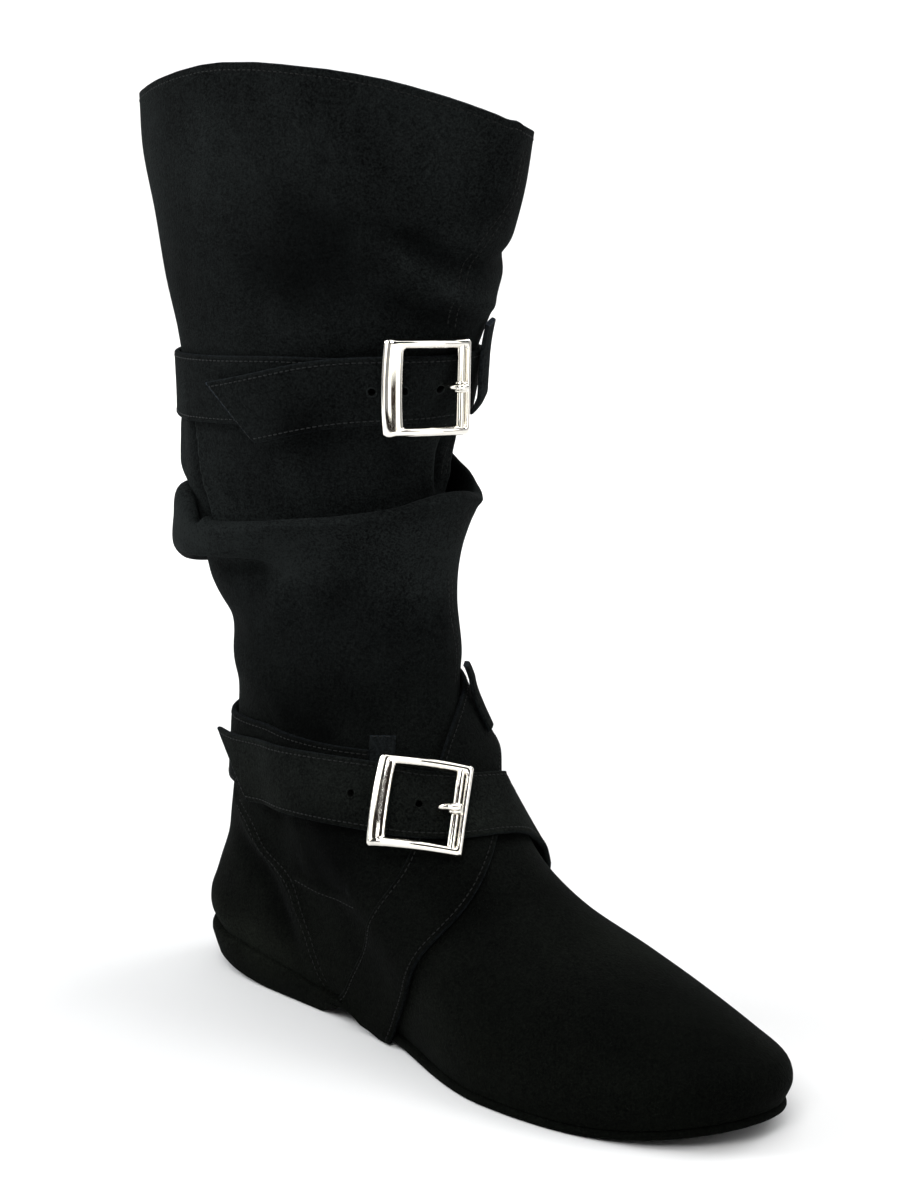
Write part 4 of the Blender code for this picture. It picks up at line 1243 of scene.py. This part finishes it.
def bandStitches(band, ends=(False, False)):
    count = len(band["out"])
    share = 1 - stitchPlan["inset"] / band["half"]
    skip = int(round(stitchPlan["endInset"] / bandPlan["step"]))
    first, last = (skip if ends[0] else 0), (count - skip if ends[1] else count)
    rows = [(overBand(band, side * share)[first:last], band["out"][first:last]) for side in (-1, 1)]
    for wanted, k in zip(ends, (first, last - 1)):
        if wanted:
            line = np.array([overBand(band, a)[k] for a in np.linspace(-share, share, stitchPlan["endSteps"])])
            rows.append((line, np.repeat(band["out"][k][None], len(line), axis=0)))
    return rows


def onSkin(route, shift=0.0):
    # a route laid on the upper, moved sideways over the surface if wanted
    plan = seamPlan
    line, out = nearest(skin, spline(route, plan["step"]))
    line = evened(line, plan["evenLine"])
    out = unit(evened(out, plan["evenOut"]))
    if shift:
        side = unit(np.cross(unit(np.gradient(line, axis=0)), out))
        line = evened(nearest(skin, line + side * shift)[0], plan["evenShifted"])
    return line, out


seamPlan = {
    "apart": 1.3, "step": 1.0, "evenLine": 6, "evenOut": 10, "evenShifted": 3, "collarIn": 1.3,
    "front": ((105, 8, 303), (102, 6, 295), (100, 5, 287), (96, -1, 276), (91, -5, 265), (87, -6, 253), (82, -4, 243)),
    "frontLow": ((66, 12, 204), (64, 12, 196), (62, 12, 188)),
    "frontAnkle": ((71, 4, 158), (72, 6, 148), (73, 8, 138), (74, 9, 126), (75, 10, 118)),
    "counterOuter": (
        (-8, -25, 66), (3, -28, 61), (12, -29, 54), (22, -30, 49), (30, -30, 44), (39, -31, 30), (44, -30, 18),
        (47.5, -29, 9.5),
    ),
    "counterInner": (
        (-8, 25, 66), (3, 28, 61), (12, 29, 54), (22, 30, 49), (30, 30, 44), (39, 31, 30), (44, 29, 18),
        (47.5, 28, 9.5),
    ),
    "side": ((31, -30, 46.5), (44, -31, 46.2), (56, -32, 46.5), (72, -33, 48)),
}


def collarStitches():
    # one row just under the collar's cut edge
    edge, below = skinGrid[-1], skinGrid[-3]
    far = np.maximum(np.linalg.norm(edge - below, axis=1), 0.1)
    line = edge + (below - edge) * (stitchPlan["inset"] * seamPlan["collarIn"] / far)[:, None]
    out = gridNormals(skinGrid)[-2]
    return [(np.concatenate([line, line[:1]]), np.concatenate([out, out[:1]]))]


def endRow(band):
    # only the row across the band's first end
    return bandStitches(band, (True, False))[2:]


counts = [
    makeStitches("shaft_band_stitches", bandStitches(upperBand, (False, True)) + endRow(upperLoopBand), thread),
    makeStitches("cross_band_stitches", bandStitches(crossBand), seamThread),
    makeStitches("ankle_band_stitches", bandStitches(ankleBand, (False, True)) + endRow(tabBand), ankleThread),
]
seams = collarStitches()
for key in ("front", "frontLow", "frontAnkle", "counterOuter", "counterInner"):
    seams += [onSkin(seamPlan[key], shift=side * seamPlan["apart"]) for side in (-1, 1)]
seams += [onSkin(route) for route in (seamPlan["side"], mirrored(seamPlan["side"]))]
counts.append(makeStitches("upper_stitches", seams, seamThread))
print("stitches made:", sum(counts))


stagePlan = {"flat": (0.02, 0.6, 2.6), "bend": 0.9, "bendSteps": 16, "sides": 96, "tone": (0.80, 0.80, 0.80, 1)}


def makeFloor():
    # a pale floor that sweeps up into a wall all round
    plan = stagePlan
    profile = [(far, 0.0) for far in plan["flat"]]
    for angle in np.linspace(0, math.pi / 2, plan["bendSteps"])[1:]:
        profile.append((plan["flat"][-1] + plan["bend"] * math.sin(angle), plan["bend"] * (1 - math.cos(angle))))
    turns = turnsOf(plan["sides"])
    points = [(far * math.cos(turn), far * math.sin(turn), high) for far, high in profile for turn in turns]
    faces = gridFaces(len(profile), plan["sides"]).tolist() + [list(range(plan["sides"]))]
    mesh = bpy.data.meshes.new("pale_floor")
    mesh.from_pydata(points, [], faces)
    mesh.shade_smooth()
    material, shader, place = newMaterial("pale_paper", {"Base Color": plan["tone"], "Specular IOR Level": 0.2})
    feed(shader, {"Roughness": place.noise(0.05).ranged(0.3, 0.7, (0.75, 0.9))})
    mesh.materials.append(material)
    floor = newObject("pale_floor", mesh)


# small cards that show in the buckles only: where on the buckle and how its face leans there, how far off the card is,
# its half sizes and its shift in the buckle's ways, tone and glow
cardPlan = {
    "lower_dark": ((6, 0), 6, 0.15, (0.125, 0.0125), (0.035, -0.001), (0.016, 0.010, 0.007, 1), 0),
    "lower_light": ((13, 0), 34, 0.5, (0.24, 0.20), (0, 0), (1, 0.99, 0.94, 1), 0.95),
    "upper_dark": ((13, 0), 12.6, 0.15, (0.050, 0.0115), (0.050, 0.005), (0.03, 0.02, 0.014, 1), 0),
    "upper_light": ((13, 0), 12.6, 0.5, (0.62, 0.16), (0.28, 0), (1, 0.99, 0.94, 1), 0.95),
}


def makeCard(name, buckle):
    at, lean, far, half, shift, tone, glow = cardPlan[name]
    origin, u, v, w = buckle
    point = (origin + u * at[0] + v * at[1]) * mm
    look = unit(point - np.array(bpy.context.scene.camera.matrix_world.translation))
    normal = turned(w, u, math.radians(lean))[0]
    away = look - 2 * (look @ normal) * normal
    across, along = (unit(way - away * (way @ away)) for way in (u, v))
    middle = point + away * far + across * shift[0] + along * shift[1]
    signs = ((-1, -1), (1, -1), (1, 1), (-1, 1))
    corners = [tuple(middle + across * half[0] * i + along * half[1] * j) for i, j in signs]
    mesh = bpy.data.meshes.new(name)
    mesh.from_pydata(corners, [], [(0, 1, 2, 3)])
    constants = {"Base Color": tone, "Specular IOR Level": 0.0, "Emission Color": tone, "Emission Strength": glow}
    material, shader, place = newMaterial(name, constants)
    feed(shader, {"Roughness": place.noise(0.1).ranged(0.3, 0.7, (0.85, 1.0))})
    mesh.materials.append(material)
    card = newObject(name, mesh)
    card.visible_camera = card.visible_diffuse = card.visible_shadow = False


# angles in degrees, distance and aim in boot sizes, focal length and frame in pixels of the photo
cameraPlan = {
    "azimuth": 48.0, "elevation": 12.0, "roll": 0.6, "far": 925.0, "aim": (68, 15, 147),
    "focal": 2680.0, "frame": 1200.0, "sensor": 36.0,
}


def makeCamera():
    plan = cameraPlan
    a, e, r = (math.radians(plan[key]) for key in ("azimuth", "elevation", "roll"))
    back = Vector((math.sin(a) * math.cos(e), -math.cos(a) * math.cos(e), math.sin(e)))
    level = Vector((math.cos(a), math.sin(a), 0))
    right, up = turned(level, back.cross(level), r)
    data = bpy.data.cameras.new("photo_camera")
    data.sensor_width = plan["sensor"]
    data.lens = plan["focal"] * plan["sensor"] / plan["frame"]
    camera = newObject("photo_camera", data)
    place = (Vector(plan["aim"]) + back * plan["far"]) * mm
    camera.matrix_world = Matrix.Translation(place) @ Matrix((right, up, back)).transposed().to_4x4()
    bpy.context.scene.camera = camera


lightPlan = {
    "world": 0.03,
    # place, aim, width and height in metres, watts, tone
    "lamps": (
        ((-1.15, -0.9, 1.0), (0.05, 0.0, 0.24), 1.0, 1.1, 25, (0.96, 0.985, 1.0)),
        ((1.5, 0.9, 1.1), (0.05, 0.0, 0.12), 0.9, 1.3, 12, (1.0, 1.0, 1.0)),
        ((0.9, -1.3, 1.5), (0.05, 0.0, 0.27), 0.8, 0.8, 20, (1.0, 1.0, 1.0)),
        ((0.1, 0.2, 2.2), (0.06, 0.0, 0.0), 2.4, 2.4, 38, (1.0, 1.0, 1.0)),
        ((0.3, 1.6, 1.2), (0.06, 0.0, 0.15), 0.9, 0.9, 12, (0.97, 0.99, 1.0)),
        ((-1.0, 1.0, 1.8), (-2.3, 2.1, 0.6), 2.0, 1.2, 60, (1.0, 1.0, 1.0)),
    ),
}


def makeLights():
    world = bpy.data.worlds.new("studio")
    world.use_nodes = True
    backdrop = world.node_tree.nodes["Background"].inputs
    backdrop["Color"].default_value = (1, 1, 1, 1)
    backdrop["Strength"].default_value = lightPlan["world"]
    bpy.context.scene.world = world
    for i, (place, aim, width, height, watts, tone) in enumerate(lightPlan["lamps"]):
        data = bpy.data.lights.new(f"soft_lamp_{i}", "AREA")
        data.shape = "RECTANGLE"
        data.size, data.size_y = width, height
        data.energy, data.color = watts, tone
        lamp = newObject(f"soft_lamp_{i}", data)
        lamp.location = place
        lamp.rotation_euler = (Vector(aim) - Vector(place)).to_track_quat("-Z", "Y").to_euler()


makeFloor()
makeCamera()
for name in cardPlan:
    makeCard(name, lowerFrame if name.startswith("lower") else upperFrame)
makeLights()
bpy.context.scene.view_settings.view_transform = "Standard"
print("floor, camera and light made")
